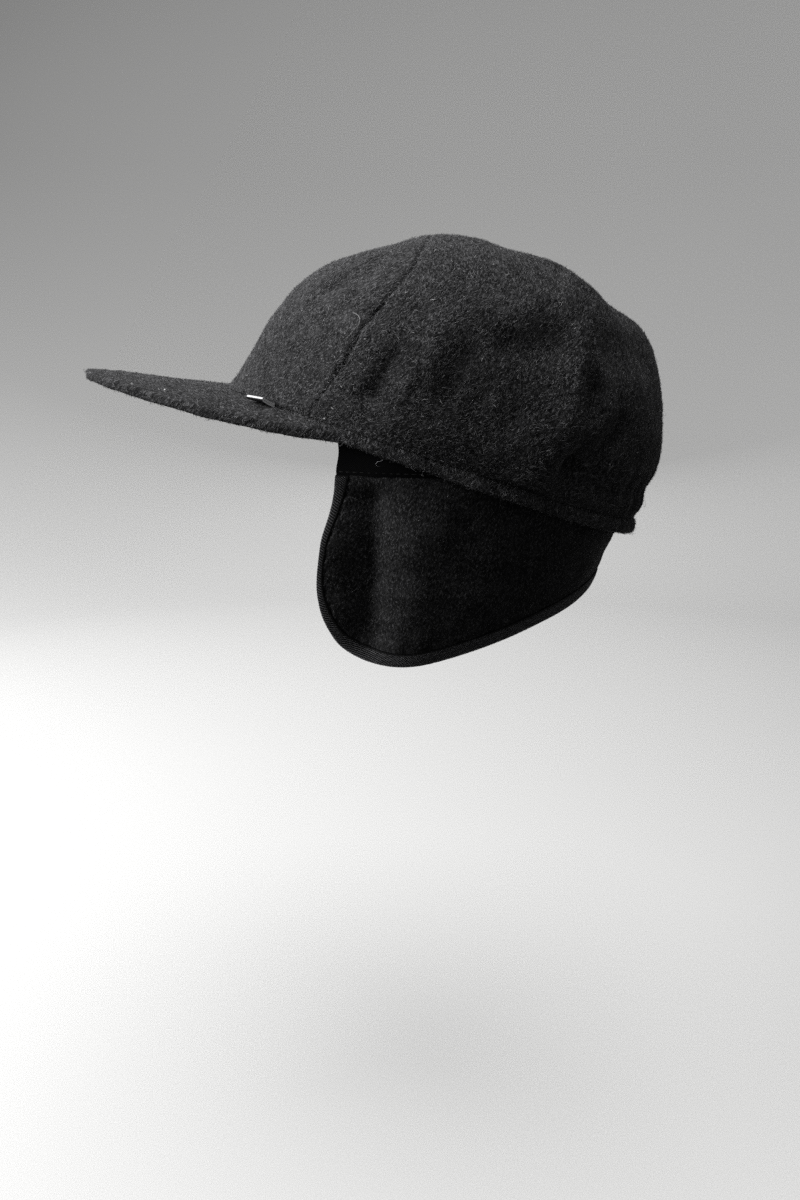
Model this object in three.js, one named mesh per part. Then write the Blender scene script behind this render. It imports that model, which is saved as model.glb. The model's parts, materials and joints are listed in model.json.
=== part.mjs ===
// Wool cap with a short peak and a fold-down ear flap, flap down as it is worn.
// Millimetres. +Z is up as worn, the peak points to -Y and the wearer's left is +X.
// The origin is the middle of the head opening, level with the hem's lower edge at the sides.
// A "turn" is the angle round the head in degrees: 0 at the front, 90 at the left ear, 180 at the back.
import * as THREE from "three";

const DEGREE = Math.PI / 180;

// Head opening, along the lower edge of the hem. It rises to the front and drops at the back.
const openingHalfWidth = 83;
const openingFrontY = -96.8;
const openingBackY = 94.0;
const openingHalfLength = (openingBackY - openingFrontY) / 2;
const openingFrontHeight = 26.8;
const openingBackHeight = -35.5;

// Cloth and the gaps between sewn pieces.
const woolThickness = 2.2;
const seamGap = 0.3;
const hemHeight = 6;
const hemThickness = 3.2;

// Crown: one row for each level from the hem to the middle of the top, outer face.
// The y and z of the front and back lines, and the x and z of the side line.
const crownLevels = [
  { frontY: -97.3, frontZ: 33.0, sideX: 82.5, sideZ: 6.3, backY: 93.8, backZ: -29.2 },
  { frontY: -88.8, frontZ: 47.0, sideX: 84.5, sideZ: 18.5, backY: 99.3, backZ: -16.5 },
  { frontY: -83.4, frontZ: 55.3, sideX: 86.0, sideZ: 34.0, backY: 103.0, backZ: 4.0 },
  { frontY: -76.0, frontZ: 66.0, sideX: 83.5, sideZ: 52.0, backY: 101.2, backZ: 32.0 },
  { frontY: -63.8, frontZ: 78.0, sideX: 75.0, sideZ: 68.5, backY: 91.2, backZ: 58.0 },
  { frontY: -46.4, frontZ: 87.5, sideX: 57.0, sideZ: 83.0, backY: 67.8, backZ: 78.8 },
  { frontY: -24.0, frontZ: 93.3, sideX: 30.0, sideZ: 93.6, backY: 34.5, backZ: 90.8 },
];
const crownTop = { y: -0.5, z: 97.8 };
const levelStep = 17;
const lastLevel = 6.96;

// Seams between the six panels: the turn at the hem, half way up and near the top.
// The ridge is how far the cloth stands out beside the seam, the groove how far the seam sinks in.
const seams = [
  { low: 0, middle: 0, high: 0, ridge: 0.3, groove: 0.9 },
  { low: 62, middle: 68, high: 76, ridge: 0.8, groove: 0.9 },
  { low: 120, middle: 125, high: 138, ridge: 3.6, groove: 0.9 },
  { low: 180, middle: 180, high: 180, ridge: 1.2, groove: 0.9 },
  { low: 240, middle: 235, high: 222, ridge: 2.6, groove: 0.9 },
  { low: 298, middle: 292, high: 284, ridge: 0.8, groove: 0.9 },
  { low: 360, middle: 360, high: 360, ridge: 0.3, groove: 0.9 },
];
const ridgeWidth = 13;
const grooveWidth = 2.2;
const ridgeLevel = 3;
const ridgeSpread = 2.2;

// Soft folds of the crown: a straight line on the cloth by turn and level, its width and lift in mm.
const crownFolds = [
  { name: "front crease", turn: 47, level: 3.6, toTurn: 62, toLevel: 4.8, width: 6, lift: -1.2 },
  { name: "front hollow", turn: 46, level: 1.4, toTurn: 48, toLevel: 2.5, width: 12, lift: -1.2 },
  { name: "first ridge", turn: 70, level: 1.4, toTurn: 73, toLevel: 2.4, width: 6, lift: 1.3 },
  { name: "first valley", turn: 76, level: 1.2, toTurn: 79, toLevel: 2.6, width: 6, lift: -2.0 },
  { name: "second ridge", turn: 82, level: 1.3, toTurn: 87, toLevel: 3.1, width: 7, lift: 1.6 },
  { name: "second valley", turn: 87, level: 1.5, toTurn: 94, toLevel: 3.0, width: 8, lift: -2.4 },
  { name: "side swell", turn: 99, level: 3.2, toTurn: 106, toLevel: 2.5, width: 11, lift: 1.6 },
  { name: "temple dent", turn: 72, level: 3.2, toTurn: 82, toLevel: 3.3, width: 6, lift: -1.2 },
  { name: "corner hollow", turn: 110, level: 3.3, toTurn: 117, toLevel: 3.7, width: 9, lift: -3.0 },
  { name: "back hollow", turn: 128, level: 3.4, toTurn: 136, toLevel: 3.1, width: 11, lift: -2.6 },
  { name: "top back dent", turn: 155, level: 4.6, toTurn: 186, toLevel: 4.6, width: 9, lift: -4.2 },
  { name: "top swell", turn: 98, level: 6.1, toTurn: 124, toLevel: 6.1, width: 11, lift: 1.0 },
  { name: "top side dip", turn: 120, level: 5.7, toTurn: 150, toLevel: 5.9, width: 9, lift: -1.4 },
  { name: "slanting ridge", turn: 122, level: 1.5, toTurn: 134, toLevel: 2.6, width: 6, lift: 2.6 },
  { name: "slanting valley", turn: 127, level: 1.3, toTurn: 137, toLevel: 2.2, width: 6, lift: -3.0 },
  { name: "back swell", turn: 146, level: 2.2, toTurn: 170, toLevel: 2.4, width: 14, lift: 0.8 },
  { name: "back valley", turn: 141, level: 2.7, toTurn: 157, toLevel: 3.3, width: 8, lift: -2.0 },
  { name: "tuck at the back", turn: 123, level: 0.8, toTurn: 180, toLevel: 1.05, width: 5, lift: -2.7 },
  { name: "right tuck at the back", turn: 182, level: 1.05, toTurn: 237, toLevel: 0.8, width: 5, lift: -2.7 },
  { name: "right back valley", turn: 218, level: 2.4, toTurn: 204, toLevel: 3.2, width: 9, lift: -2.2 },
  { name: "right slanting valley", turn: 236, level: 1.3, toTurn: 226, toLevel: 2.2, width: 7, lift: -2.4 },
  { name: "right side valley", turn: 272, level: 1.3, toTurn: 266, toLevel: 3.0, width: 9, lift: -2.2 },
  { name: "right side ridge", turn: 284, level: 1.4, toTurn: 279, toLevel: 2.8, width: 8, lift: 1.6 },
  { name: "right top dip", turn: 210, level: 5.4, toTurn: 240, toLevel: 5.2, width: 12, lift: -2.0 },
];

// Gathers where the back is drawn in above the hem.
const gatherFromTurn = 128;
const gatherCount = 13;
const gatherLift = 0.8;
const gatherLevel = 0.7;

// Peak: wool over a thin stiff board, bent like part of a tube and tipped up a little.
const peakHalfTurn = 75;
const peakTipY = -174.3;
const peakWingY = -26;
const peakHalfWidth = 81.5;
const peakSquareness = 1.9;
const peakThickness = 4.6;
const peakArch = 9.8;
const peakArchPower = 3.2;
const peakCrestHeight = 30.7;
const peakRise = 0.1;
const peakJointUp = 0.95;
const peakJointOut = 0.95;
const peakJointDroop = 0.7;
const peakDroopDepth = 0.2;

// Cotton band inside the hem that carries the flap.
const bandThickness = 1.2;
const bandLowerHeight = -4;
const bandUpperHeight = 16;
const bandFrontTurn = 69;
const liningClearance = 1;
const liningHalfWidth = openingHalfWidth - hemThickness - liningClearance;
const liningFrontHalf = -openingFrontY - hemThickness - liningClearance;
const liningBackHalf = openingBackY - hemThickness - liningClearance;

// Ear flap: the oval it hangs on at each height, outer face.
const flapSections = [
  { height: 16, halfWidth: liningHalfWidth, frontHalf: liningFrontHalf, backHalf: liningBackHalf },
  { height: -4, halfWidth: liningHalfWidth, frontHalf: liningFrontHalf, backHalf: liningBackHalf },
  { height: -18, halfWidth: 78.7, frontHalf: 92.0, backHalf: 89.5 },
  { height: -32, halfWidth: 78.0, frontHalf: 90.5, backHalf: 86.8 },
  { height: -46, halfWidth: 76.5, frontHalf: 88.0, backHalf: 81.0 },
  { height: -60, halfWidth: 75.0, frontHalf: 85.0, backHalf: 76.0 },
  { height: -92, halfWidth: 70.0, frontHalf: 80.0, backHalf: 69.0 },
];

// Outline of the flap's left half, from the top of its front edge to the middle of the back.
// Each row also names the turn on the top edge that the cloth's threads run to.
const flapOutline = [
  { turn: 68.8, height: -4.3, topTurn: 77 },
  { turn: 66.8, height: -13, topTurn: 78 },
  { turn: 64.0, height: -27, topTurn: 79.5 },
  { turn: 61.2, height: -41, topTurn: 81 },
  { turn: 59.3, height: -54, topTurn: 83 },
  { turn: 59.6, height: -65, topTurn: 85 },
  { turn: 62.2, height: -75, topTurn: 87.5 },
  { turn: 66, height: -81.5, topTurn: 90 },
  { turn: 73, height: -86, topTurn: 94 },
  { turn: 82, height: -88, topTurn: 99 },
  { turn: 92, height: -87.2, topTurn: 106 },
  { turn: 105, height: -83, topTurn: 114 },
  { turn: 120, height: -77, topTurn: 125 },
  { turn: 135, height: -71, topTurn: 138 },
  { turn: 150, height: -66.5, topTurn: 152 },
  { turn: 165, height: -62.5, topTurn: 166 },
  { turn: 180, height: -60.5, topTurn: 180 },
];
const flapThickness = 2.6;

// Soft folds of each ear flap by turn and height.
const flapFolds = [
  { name: "flared front edge", turn: 66, height: -16, toTurn: 58, toHeight: -66, width: 9, lift: 2.4 },
  { name: "front valley", turn: 74, height: -10, toTurn: 70, toHeight: -68, width: 8, lift: -4.0 },
  { name: "front ridge", turn: 83, height: -14, toTurn: 82, toHeight: -80, width: 9, lift: 3.2 },
  { name: "middle valley", turn: 95, height: -18, toTurn: 96, toHeight: -45, width: 10, lift: -1.8 },
  { name: "rear swell", turn: 107, height: -34, toTurn: 109, toHeight: -58, width: 14, lift: 1.6 },
];
const foldFade = 12;
const flapMeanRadius = 80;

// Twill tape sewn over the flap's edge, taken with the cloth edge that it encloses.
const tapeWidth = 7;
const tapeThickness = 3.8;
const tapeEdgeRound = 0.8;

// Blank folded ribbon tab in the seam between crown and peak.
const tabTurn = 46;
const tabWidth = 11;
const tabProjection = 6;
const tabThickness = 1;
const tabSetBack = 0.5;
const tabLift = 0.3;
const tabPeakDepth = 42;
const tabTilt = 0.8;

// Grid steps.
const panelColumns = 12;
const panelRows = 13;
const hemSteps = 72;
const peakColumns = 28;
const flapStepsPerRow = 2;
const flapRows = 6;
const bandSteps = 60;

const materials = {
  wool: new THREE.MeshStandardMaterial({ color: 0x29292b, roughness: 0.95, metalness: 0 }),
  cotton: new THREE.MeshStandardMaterial({ color: 0x121213, roughness: 0.9, metalness: 0 }),
  tape: new THREE.MeshStandardMaterial({ color: 0x101012, roughness: 0.8, metalness: 0 }),
  ribbon: new THREE.MeshStandardMaterial({ color: 0xb9bab8, roughness: 0.5, metalness: 0 }),
};

function mix(from, to, part) {
  return from + (to - from) * part;
}

function smoothStep(value) {
  const t = THREE.MathUtils.clamp(value, 0, 1);
  return t * t * (3 - 2 * t);
}

// Value round an oval from its values at the front, the sides and the back.
function roundOval(front, side, back, turn) {
  const even = (front + 2 * side + back) / 4;
  const slope = ((front - back) / 2) * Math.cos(turn * DEGREE);
  const saddle = ((front + back - 2 * side) / 4) * Math.cos(2 * turn * DEGREE);
  return even + slope + saddle;
}

// Smooth curve through table rows, read at a row number that need not be whole.
function curveThrough(rows) {
  const curve = new THREE.CatmullRomCurve3(
    rows.map((row) => new THREE.Vector3(...row)),
    false,
    "catmullrom",
    0.5,
  );
  return (row) => curve.getPoint(row / (rows.length - 1));
}

// The lines run on past the top by one mirrored row, so that the top is smooth.
const beyondTop = crownLevels[crownLevels.length - 1];
const frontLine = curveThrough([
  ...crownLevels.map((row) => [0, row.frontY, row.frontZ]),
  [0, crownTop.y, crownTop.z],
  [0, beyondTop.backY, beyondTop.backZ],
]);
const backLine = curveThrough([
  ...crownLevels.map((row) => [0, row.backY, row.backZ]),
  [0, crownTop.y, crownTop.z],
  [0, beyondTop.frontY, beyondTop.frontZ],
]);
const sideLine = curveThrough([
  ...crownLevels.map((row) => [row.sideX, 0, row.sideZ]),
  [0, 0, crownTop.z],
  [-beyondTop.sideX, 0, beyondTop.sideZ],
]);

function crownBase(turn, level) {
  const front = frontLine(level);
  const back = backLine(level);
  const side = sideLine(level);
  const angle = turn * DEGREE;
  const halfLength = (back.y - front.y) / 2;
  return new THREE.Vector3(
    side.x * Math.sin(angle),
    (front.y + back.y) / 2 - halfLength * Math.cos(angle),
    roundOval(front.z, side.z, back.z, turn),
  );
}

function crownRadius(level) {
  return (sideLine(level).x + (backLine(level).y - frontLine(level).y) / 2) / 2;
}

function crownNormal(turn, level) {
  const along = crownBase(turn + 0.5, level).sub(crownBase(turn - 0.5, level));
  const low = Math.max(level - 0.04, 0);
  const high = Math.min(level + 0.04, 7);
  const up = crownBase(turn, high).sub(crownBase(turn, low));
  return along.cross(up).normalize();
}

function seamTurn(seam, level) {
  const lower = mix(seam.low, seam.middle, smoothStep(level / 3.2));
  return mix(lower, seam.high, smoothStep((level - 2.6) / 2.4));
}

// Distance in mm from a point to a short line, both on the flattened cloth.
function distanceToLine(x, y, fromX, fromY, toX, toY) {
  const dx = toX - fromX;
  const dy = toY - fromY;
  const along = ((x - fromX) * dx + (y - fromY) * dy) / (dx * dx + dy * dy);
  const part = THREE.MathUtils.clamp(along, 0, 1);
  return Math.hypot(x - fromX - dx * part, y - fromY - dy * part);
}

function bump(distance, width) {
  return Math.exp(-((distance / width) ** 2));
}

// How far the cloth stands off the smooth crown at a place.
function crownLift(turn, level) {
  const perDegree = crownRadius(level) * DEGREE;
  const fadeAtTop = smoothStep((lastLevel - level) / 1.2);
  const fadeAtHem = smoothStep(level / 0.35);
  let lift = 0;
  for (const seam of seams) {
    const away = (turn - seamTurn(seam, level)) * perDegree;
    const shoulder = bump(level - ridgeLevel, ridgeSpread);
    lift += seam.ridge * bump(away, ridgeWidth) * shoulder * fadeAtTop;
    lift -= seam.groove * bump(away, grooveWidth) * fadeAtTop;
  }
  for (const fold of crownFolds) {
    const distance = distanceToLine(
      turn * perDegree,
      level * levelStep,
      fold.turn * perDegree,
      fold.level * levelStep,
      fold.toTurn * perDegree,
      fold.toLevel * levelStep,
    );
    lift += fold.lift * bump(distance, fold.width);
  }
  const fromBack = Math.abs(turn - 180) / (180 - gatherFromTurn);
  if (fromBack < 1) {
    const swing = Math.cos(fromBack * gatherCount * Math.PI);
    lift += gatherLift * swing * smoothStep((1 - fromBack) * 4) * bump(level - gatherLevel, gatherLevel);
  }
  return lift * fadeAtHem;
}

// At the foot the wall's thickness runs level, so that it stands square on the hem.
function crownPoint(turn, level, depth) {
  const normal = crownNormal(turn, level);
  const wall = outwardAt(turn).lerp(normal, smoothStep(level / 0.6)).normalize();
  return crownBase(turn, level)
    .addScaledVector(normal, crownLift(turn, level))
    .addScaledVector(wall, -depth);
}

// A closed piece of cloth from an outer and an inner grid of points, joined round the rim.
// A ring has no end walls: its last column runs on into its first.
function clothGeometry(outer, inner, isRing) {
  const columns = outer.length;
  const rows = outer[0].length;
  const positions = [...outer.flat(), ...inner.flat()].flatMap((point) => point.toArray());
  const innerStart = columns * rows;
  const index = [];
  const quad = (a, b, c, d) => index.push(a, b, c, a, c, d);
  const lastColumn = isRing ? columns : columns - 1;
  for (let column = 0; column < lastColumn; column += 1) {
    const here = column * rows;
    const next = ((column + 1) % columns) * rows;
    for (let row = 0; row < rows - 1; row += 1) {
      quad(here + row, next + row, next + row + 1, here + row + 1);
      quad(
        innerStart + here + row,
        innerStart + here + row + 1,
        innerStart + next + row + 1,
        innerStart + next + row,
      );
    }
    quad(here, innerStart + here, innerStart + next, next);
    const top = rows - 1;
    quad(here + top, next + top, innerStart + next + top, innerStart + here + top);
  }
  if (!isRing) {
    const end = (columns - 1) * rows;
    for (let row = 0; row < rows - 1; row += 1) {
      quad(row, row + 1, innerStart + row + 1, innerStart + row);
      quad(end + row, innerStart + end + row, innerStart + end + row + 1, end + row + 1);
    }
  }
  const geometry = new THREE.BufferGeometry();
  geometry.setAttribute("position", new THREE.Float32BufferAttribute(positions, 3));
  geometry.setIndex(index);
  geometry.computeVertexNormals();
  return geometry;
}

function gridOf(columns, rows, pointAt) {
  return Array.from({ length: columns + 1 }, (_, column) =>
    Array.from({ length: rows + 1 }, (_, row) => pointAt(column / columns, row / rows)),
  );
}

// Columns crowd towards the seams, where the cloth bends most.
function towardsEnds(part) {
  const centred = 2 * part - 1;
  return 0.5 + 0.5 * Math.sign(centred) * Math.abs(centred) ** 0.72;
}

function panelGeometry(number) {
  const rows = (depth) =>
    gridOf(panelColumns, panelRows, (across, up) => {
      const level = lastLevel * up ** 1.02;
      const gapTurn = seamGap / 2 / crownRadius(level) / DEGREE;
      const from = seamTurn(seams[number], level) + gapTurn;
      const to = seamTurn(seams[number + 1], level) - gapTurn;
      return crownPoint(mix(from, to, towardsEnds(across)), level, depth);
    });
  return clothGeometry(rows(0), rows(woolThickness), false);
}

// Lower edge of the hem, and the foot of the crown above it.
function hemEdge(turn) {
  return new THREE.Vector3(
    openingHalfWidth * Math.sin(turn * DEGREE),
    (openingFrontY + openingBackY) / 2 - openingHalfLength * Math.cos(turn * DEGREE),
    roundOval(openingFrontHeight, 0, openingBackHeight, turn),
  );
}

function outwardAt(turn) {
  return new THREE.Vector3(
    openingHalfLength * Math.sin(turn * DEGREE),
    -openingHalfWidth * Math.cos(turn * DEGREE),
    0,
  ).normalize();
}

// Place on the hem: "up" runs from 0 at its lower edge to 1 at the crown's foot, "out" is in mm.
function hemPoint(turn, up, out) {
  return hemEdge(turn).lerp(crownBase(turn, 0), up).addScaledVector(outwardAt(turn), out);
}

function hemGeometry() {
  const hemTop = 1 - seamGap / (hemHeight + seamGap);
  const outerProfile = [
    { up: 0.0, out: -0.8 },
    { up: 0.16, out: 0.2 },
    { up: 0.5, out: 0.5 },
    { up: 0.84, out: 0.1 },
    { up: hemTop, out: -0.5 },
  ];
  const innerProfile = outerProfile.map((row, number) => ({
    up: number === 0 ? 0.08 : row.up,
    out: -hemThickness,
  }));
  const ring = (profile) =>
    Array.from({ length: hemSteps }, (_, step) =>
      profile.map((row) => hemPoint((step / hemSteps) * 360, row.up, row.out)),
    );
  return clothGeometry(ring(outerProfile), ring(innerProfile), true);
}

// Outer edge of the peak in plan, from the left wing over the tip to the right wing.
function peakEdge(across) {
  const angle = across * 90 * DEGREE;
  const wide = Math.abs(Math.sin(angle)) ** (2 / peakSquareness) * Math.sign(angle);
  const deep = Math.max(Math.cos(angle), 0) ** (2 / peakSquareness);
  return new THREE.Vector3(peakHalfWidth * wide, mix(peakWingY, peakTipY, deep), 0);
}

function peakHeight(x, y) {
  const arch = peakArch * Math.abs(x / peakHalfWidth) ** peakArchPower;
  return peakCrestHeight - peakRise * (y - openingFrontY) - arch;
}

// "across" is -1 at the right wing and 1 at the left one, "forward" 0 at the crown and 1 at the edge.
function peakPoint(across, forward, depth) {
  const joint = hemPoint(peakHalfTurn * across, peakJointUp, peakJointOut);
  const edge = peakEdge(across);
  const point = joint.clone().lerp(edge, forward);
  const jointStep = joint.z - peakHeight(joint.x, joint.y);
  point.z = peakHeight(point.x, point.y) + jointStep * (1 - forward) ** 3 - depth;
  return point;
}

function peakGeometry() {
  const profile = [
    { forward: 0, top: peakJointDroop / peakThickness, bottom: 0.85 },
    { forward: peakDroopDepth, top: 0, bottom: 1 },
    { forward: 0.5, top: 0, bottom: 1 },
    { forward: 0.8, top: 0, bottom: 1 },
    { forward: 0.95, top: 0.06, bottom: 0.94 },
    { forward: 0.985, top: 0.2, bottom: 0.8 },
    { forward: 1, top: 0.4, bottom: 0.6 },
  ];
  const face = (side) =>
    Array.from({ length: peakColumns + 1 }, (_, column) => {
      const across = 1 - (2 * column) / peakColumns;
      return profile.map((row) => peakPoint(across, row.forward, row[side] * peakThickness));
    });
  return clothGeometry(face("top"), face("bottom"), false);
}

// Row number of the flap's sections at a height, for a smooth read between the rows.
const flapOval = curveThrough(
  flapSections.map((row) => [row.halfWidth, row.frontHalf, row.backHalf]),
);

function flapSectionAt(height) {
  for (let row = 1; row < flapSections.length; row += 1) {
    const above = flapSections[row - 1].height;
    const below = flapSections[row].height;
    if (height >= below || row === flapSections.length - 1)
      return flapOval(row - 1 + (above - height) / (above - below));
  }
  return flapOval(0);
}

function flapLift(turn, height) {
  const mirrored = turn > 180 ? 360 - turn : turn;
  const perDegree = flapMeanRadius * DEGREE;
  const belowHem = smoothStep((hemEdge(mirrored).z - 3 - height) / foldFade);
  let lift = 0;
  for (const fold of flapFolds) {
    const distance = distanceToLine(
      mirrored * perDegree,
      height,
      fold.turn * perDegree,
      fold.height,
      fold.toTurn * perDegree,
      fold.toHeight,
    );
    lift += fold.lift * bump(distance, fold.width);
  }
  const belowBand = smoothStep((bandLowerHeight - height) / foldFade);
  return lift * belowHem * belowBand;
}

function flapPoint(turn, height, depth) {
  const oval = flapSectionAt(height);
  const angle = turn * DEGREE;
  const middle = (oval.z - oval.y) / 2;
  const halfLength = (oval.z + oval.y) / 2;
  const outward = new THREE.Vector3(
    halfLength * Math.sin(angle),
    -oval.x * Math.cos(angle),
    0,
  ).normalize();
  return new THREE.Vector3(
    oval.x * Math.sin(angle),
    middle - halfLength * Math.cos(angle),
    height,
  ).addScaledVector(outward, flapLift(turn, height) - depth);
}

const flapStation = curveThrough(
  flapOutline.map((row) => [row.turn, row.height, row.topTurn]),
);
const flapLastRow = flapOutline.length - 1;

// A thread of the flap: "row" counts along the whole outline, left half then right half,
// and "inward" is the distance in mm from the outline towards the top edge.
function flapThread(row) {
  const isRight = row > flapLastRow;
  const station = flapStation(isRight ? 2 * flapLastRow - row : row);
  const topHeight = bandLowerHeight - seamGap;
  const turnFrom = isRight ? 360 - station.x : station.x;
  const turnTo = isRight ? 360 - station.z : station.z;
  const edge = flapPoint(turnFrom, station.y, 0);
  const length = edge.distanceTo(flapPoint(turnTo, topHeight, 0));
  return {
    length,
    at(inward, depth) {
      const part = inward / length;
      return flapPoint(mix(turnFrom, turnTo, part), mix(station.y, topHeight, part), depth);
    },
  };
}

const flapColumns = 2 * flapLastRow * flapStepsPerRow;
const flapThreads = Array.from({ length: flapColumns + 1 }, (_, column) =>
  flapThread(column / flapStepsPerRow),
);

function flapGeometry() {
  const face = (depth) =>
    flapThreads.map((thread) =>
      Array.from({ length: flapRows + 1 }, (_, row) =>
        thread.at(mix(tapeWidth + seamGap, thread.length, row / flapRows), depth),
      ),
    );
  return clothGeometry(face(0), face(flapThickness), false);
}

function tapeGeometry() {
  const proud = (tapeThickness - flapThickness) / 2;
  const profile = [
    { inward: 0, outer: tapeEdgeRound, inner: tapeThickness - tapeEdgeRound },
    { inward: 1, outer: 0, inner: tapeThickness },
    { inward: tapeWidth / 2, outer: 0, inner: tapeThickness },
    { inward: tapeWidth, outer: 0.3, inner: tapeThickness - 0.3 },
  ];
  const face = (side) =>
    flapThreads.map((thread) =>
      profile.map((row) => thread.at(row.inward, row[side] - proud)),
    );
  return clothGeometry(face("outer"), face("inner"), false);
}

function bandGeometry() {
  const face = (depth) =>
    gridOf(bandSteps, 2, (across, up) => {
      const turn = mix(bandFrontTurn, 360 - bandFrontTurn, across);
      const height = mix(bandLowerHeight, bandUpperHeight, up);
      return flapPoint(turn, height, depth);
    });
  return clothGeometry(face(0), face(bandThickness), false);
}

// The tab lies on the peak against the crown, its fold pointing outward.
function tabGeometry() {
  const halfTurn = tabWidth / 2 / (openingHalfWidth * DEGREE);
  const face = (rise) =>
    gridOf(4, 3, (along, out) => {
      const turn = mix(tabTurn + halfTurn, tabTurn - halfTurn, along);
      const point = peakPoint(turn / peakHalfTurn, 0, 0);
      const jointStep = point.z - peakHeight(point.x, point.y);
      const distance = tabSetBack + out * tabProjection;
      const forward = distance / tabPeakDepth;
      const droop = peakJointDroop * (1 - forward / peakDroopDepth);
      point.addScaledVector(outwardAt(turn), distance);
      point.z = peakHeight(point.x, point.y) + jointStep * (1 - forward) ** 3 - droop;
      point.z += tabLift + tabTilt * out + rise;
      return point;
    });
  return clothGeometry(face(tabThickness), face(0), false);
}

function piece(name, geometry, material) {
  const mesh = new THREE.Mesh(geometry, material);
  mesh.name = name;
  return mesh;
}

const panelNames = [
  "panel_front_left",
  "panel_side_left",
  "panel_back_left",
  "panel_back_right",
  "panel_side_right",
  "panel_front_right",
];

const crown = new THREE.Group();
panelNames.forEach((name, number) => {
  crown.add(piece(name, panelGeometry(number), materials.wool));
});
crown.add(piece("crown_hem", hemGeometry(), materials.wool));

const flap = new THREE.Group();
flap.add(piece("flap_band", bandGeometry(), materials.cotton));
flap.add(piece("ear_flap", flapGeometry(), materials.wool));
flap.add(piece("flap_binding", tapeGeometry(), materials.tape));

const cap = new THREE.Group();
cap.add(crown);
cap.add(piece("peak", peakGeometry(), materials.wool));
cap.add(piece("ribbon_tab", tabGeometry(), materials.ribbon));
cap.add(flap);

export default cap;
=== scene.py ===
import json
import math
import bpy
import numpy as np
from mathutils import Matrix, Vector

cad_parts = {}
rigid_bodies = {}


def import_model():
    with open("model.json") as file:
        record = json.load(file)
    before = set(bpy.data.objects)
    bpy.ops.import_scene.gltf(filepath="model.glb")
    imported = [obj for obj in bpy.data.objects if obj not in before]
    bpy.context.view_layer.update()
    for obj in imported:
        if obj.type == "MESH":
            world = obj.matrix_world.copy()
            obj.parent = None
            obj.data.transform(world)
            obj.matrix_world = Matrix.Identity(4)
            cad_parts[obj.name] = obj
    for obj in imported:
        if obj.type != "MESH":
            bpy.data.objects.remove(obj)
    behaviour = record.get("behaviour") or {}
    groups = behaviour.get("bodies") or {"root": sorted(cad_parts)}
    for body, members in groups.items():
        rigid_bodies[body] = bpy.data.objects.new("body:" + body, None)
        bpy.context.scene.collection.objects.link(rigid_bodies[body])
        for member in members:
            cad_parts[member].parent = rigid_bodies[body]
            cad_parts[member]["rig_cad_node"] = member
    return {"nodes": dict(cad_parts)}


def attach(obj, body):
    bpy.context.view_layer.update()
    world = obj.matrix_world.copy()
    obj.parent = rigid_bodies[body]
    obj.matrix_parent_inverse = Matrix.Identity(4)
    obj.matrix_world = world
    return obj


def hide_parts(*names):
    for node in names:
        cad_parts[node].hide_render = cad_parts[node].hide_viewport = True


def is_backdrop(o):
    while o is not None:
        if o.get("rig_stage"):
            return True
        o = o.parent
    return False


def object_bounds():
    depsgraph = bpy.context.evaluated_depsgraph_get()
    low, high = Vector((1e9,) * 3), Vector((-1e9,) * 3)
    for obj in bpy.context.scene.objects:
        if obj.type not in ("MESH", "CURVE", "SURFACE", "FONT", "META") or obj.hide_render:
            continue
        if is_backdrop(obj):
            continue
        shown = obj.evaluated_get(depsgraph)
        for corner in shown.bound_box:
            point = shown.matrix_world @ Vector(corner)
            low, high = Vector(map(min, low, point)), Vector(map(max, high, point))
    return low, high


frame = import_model()
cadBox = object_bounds()
print("frame loaded:", len(frame["nodes"]), "nodes")

# Tables and sizes are in millimetres, and meshes are made in metres.
# A turn is the angle round the head in degrees: 0 at the front, 90 at the left ear, 180 at the back.
mm = 0.001
degree = math.pi / 180


# Small maths

def mix(low, high, part):
    return low + (high - low) * part


def smooth(value):
    t = np.clip(value, 0, 1)
    return t * t * (3 - 2 * t)


def hump(distance, width):
    return np.exp(-((distance / width) ** 2))


def unit(vectors):
    return vectors / np.maximum(np.linalg.norm(vectors, axis=-1, keepdims=True), 1e-12)


def stack(*parts):
    return np.stack(np.broadcast_arrays(*parts), axis=-1)


def roundOval(front, side, back, turn):
    even = (front + 2 * side + back) / 4
    slope = (front - back) / 2 * np.cos(turn * degree)
    saddle = (front + back - 2 * side) / 4 * np.cos(2 * turn * degree)
    return even + slope + saddle


def curveThrough(rows):
    points = np.array(rows, float)
    padded = np.vstack([2 * points[0] - points[1], points, 2 * points[-1] - points[-2]])

    def at(row):
        row = np.asarray(row, float)
        start = np.clip(np.floor(row).astype(int), 0, len(points) - 2)
        t = (row - start)[..., None]
        before, a, b, after = (padded[start + n] for n in range(4))
        leave, arrive = (b - before) / 2, (after - a) / 2
        cubic = (2 * a - 2 * b + leave + arrive) * t**3
        return cubic + (3 * b - 3 * a - 2 * leave - arrive) * t**2 + leave * t + a

    return at


def ripple(place, size, seed, waves=9):  # smooth seeded unevenness, mostly within -1 and 1
    draw = np.random.default_rng(seed)
    total = 0
    for _ in range(waves):
        heading = unit(draw.normal(size=3))
        length = size * draw.uniform(0.7, 1.6)
        total = total + np.sin(place @ heading * (2 * math.pi / length) + draw.uniform(0, 2 * math.pi))
    return total / waves**0.5 / 1.2


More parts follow.
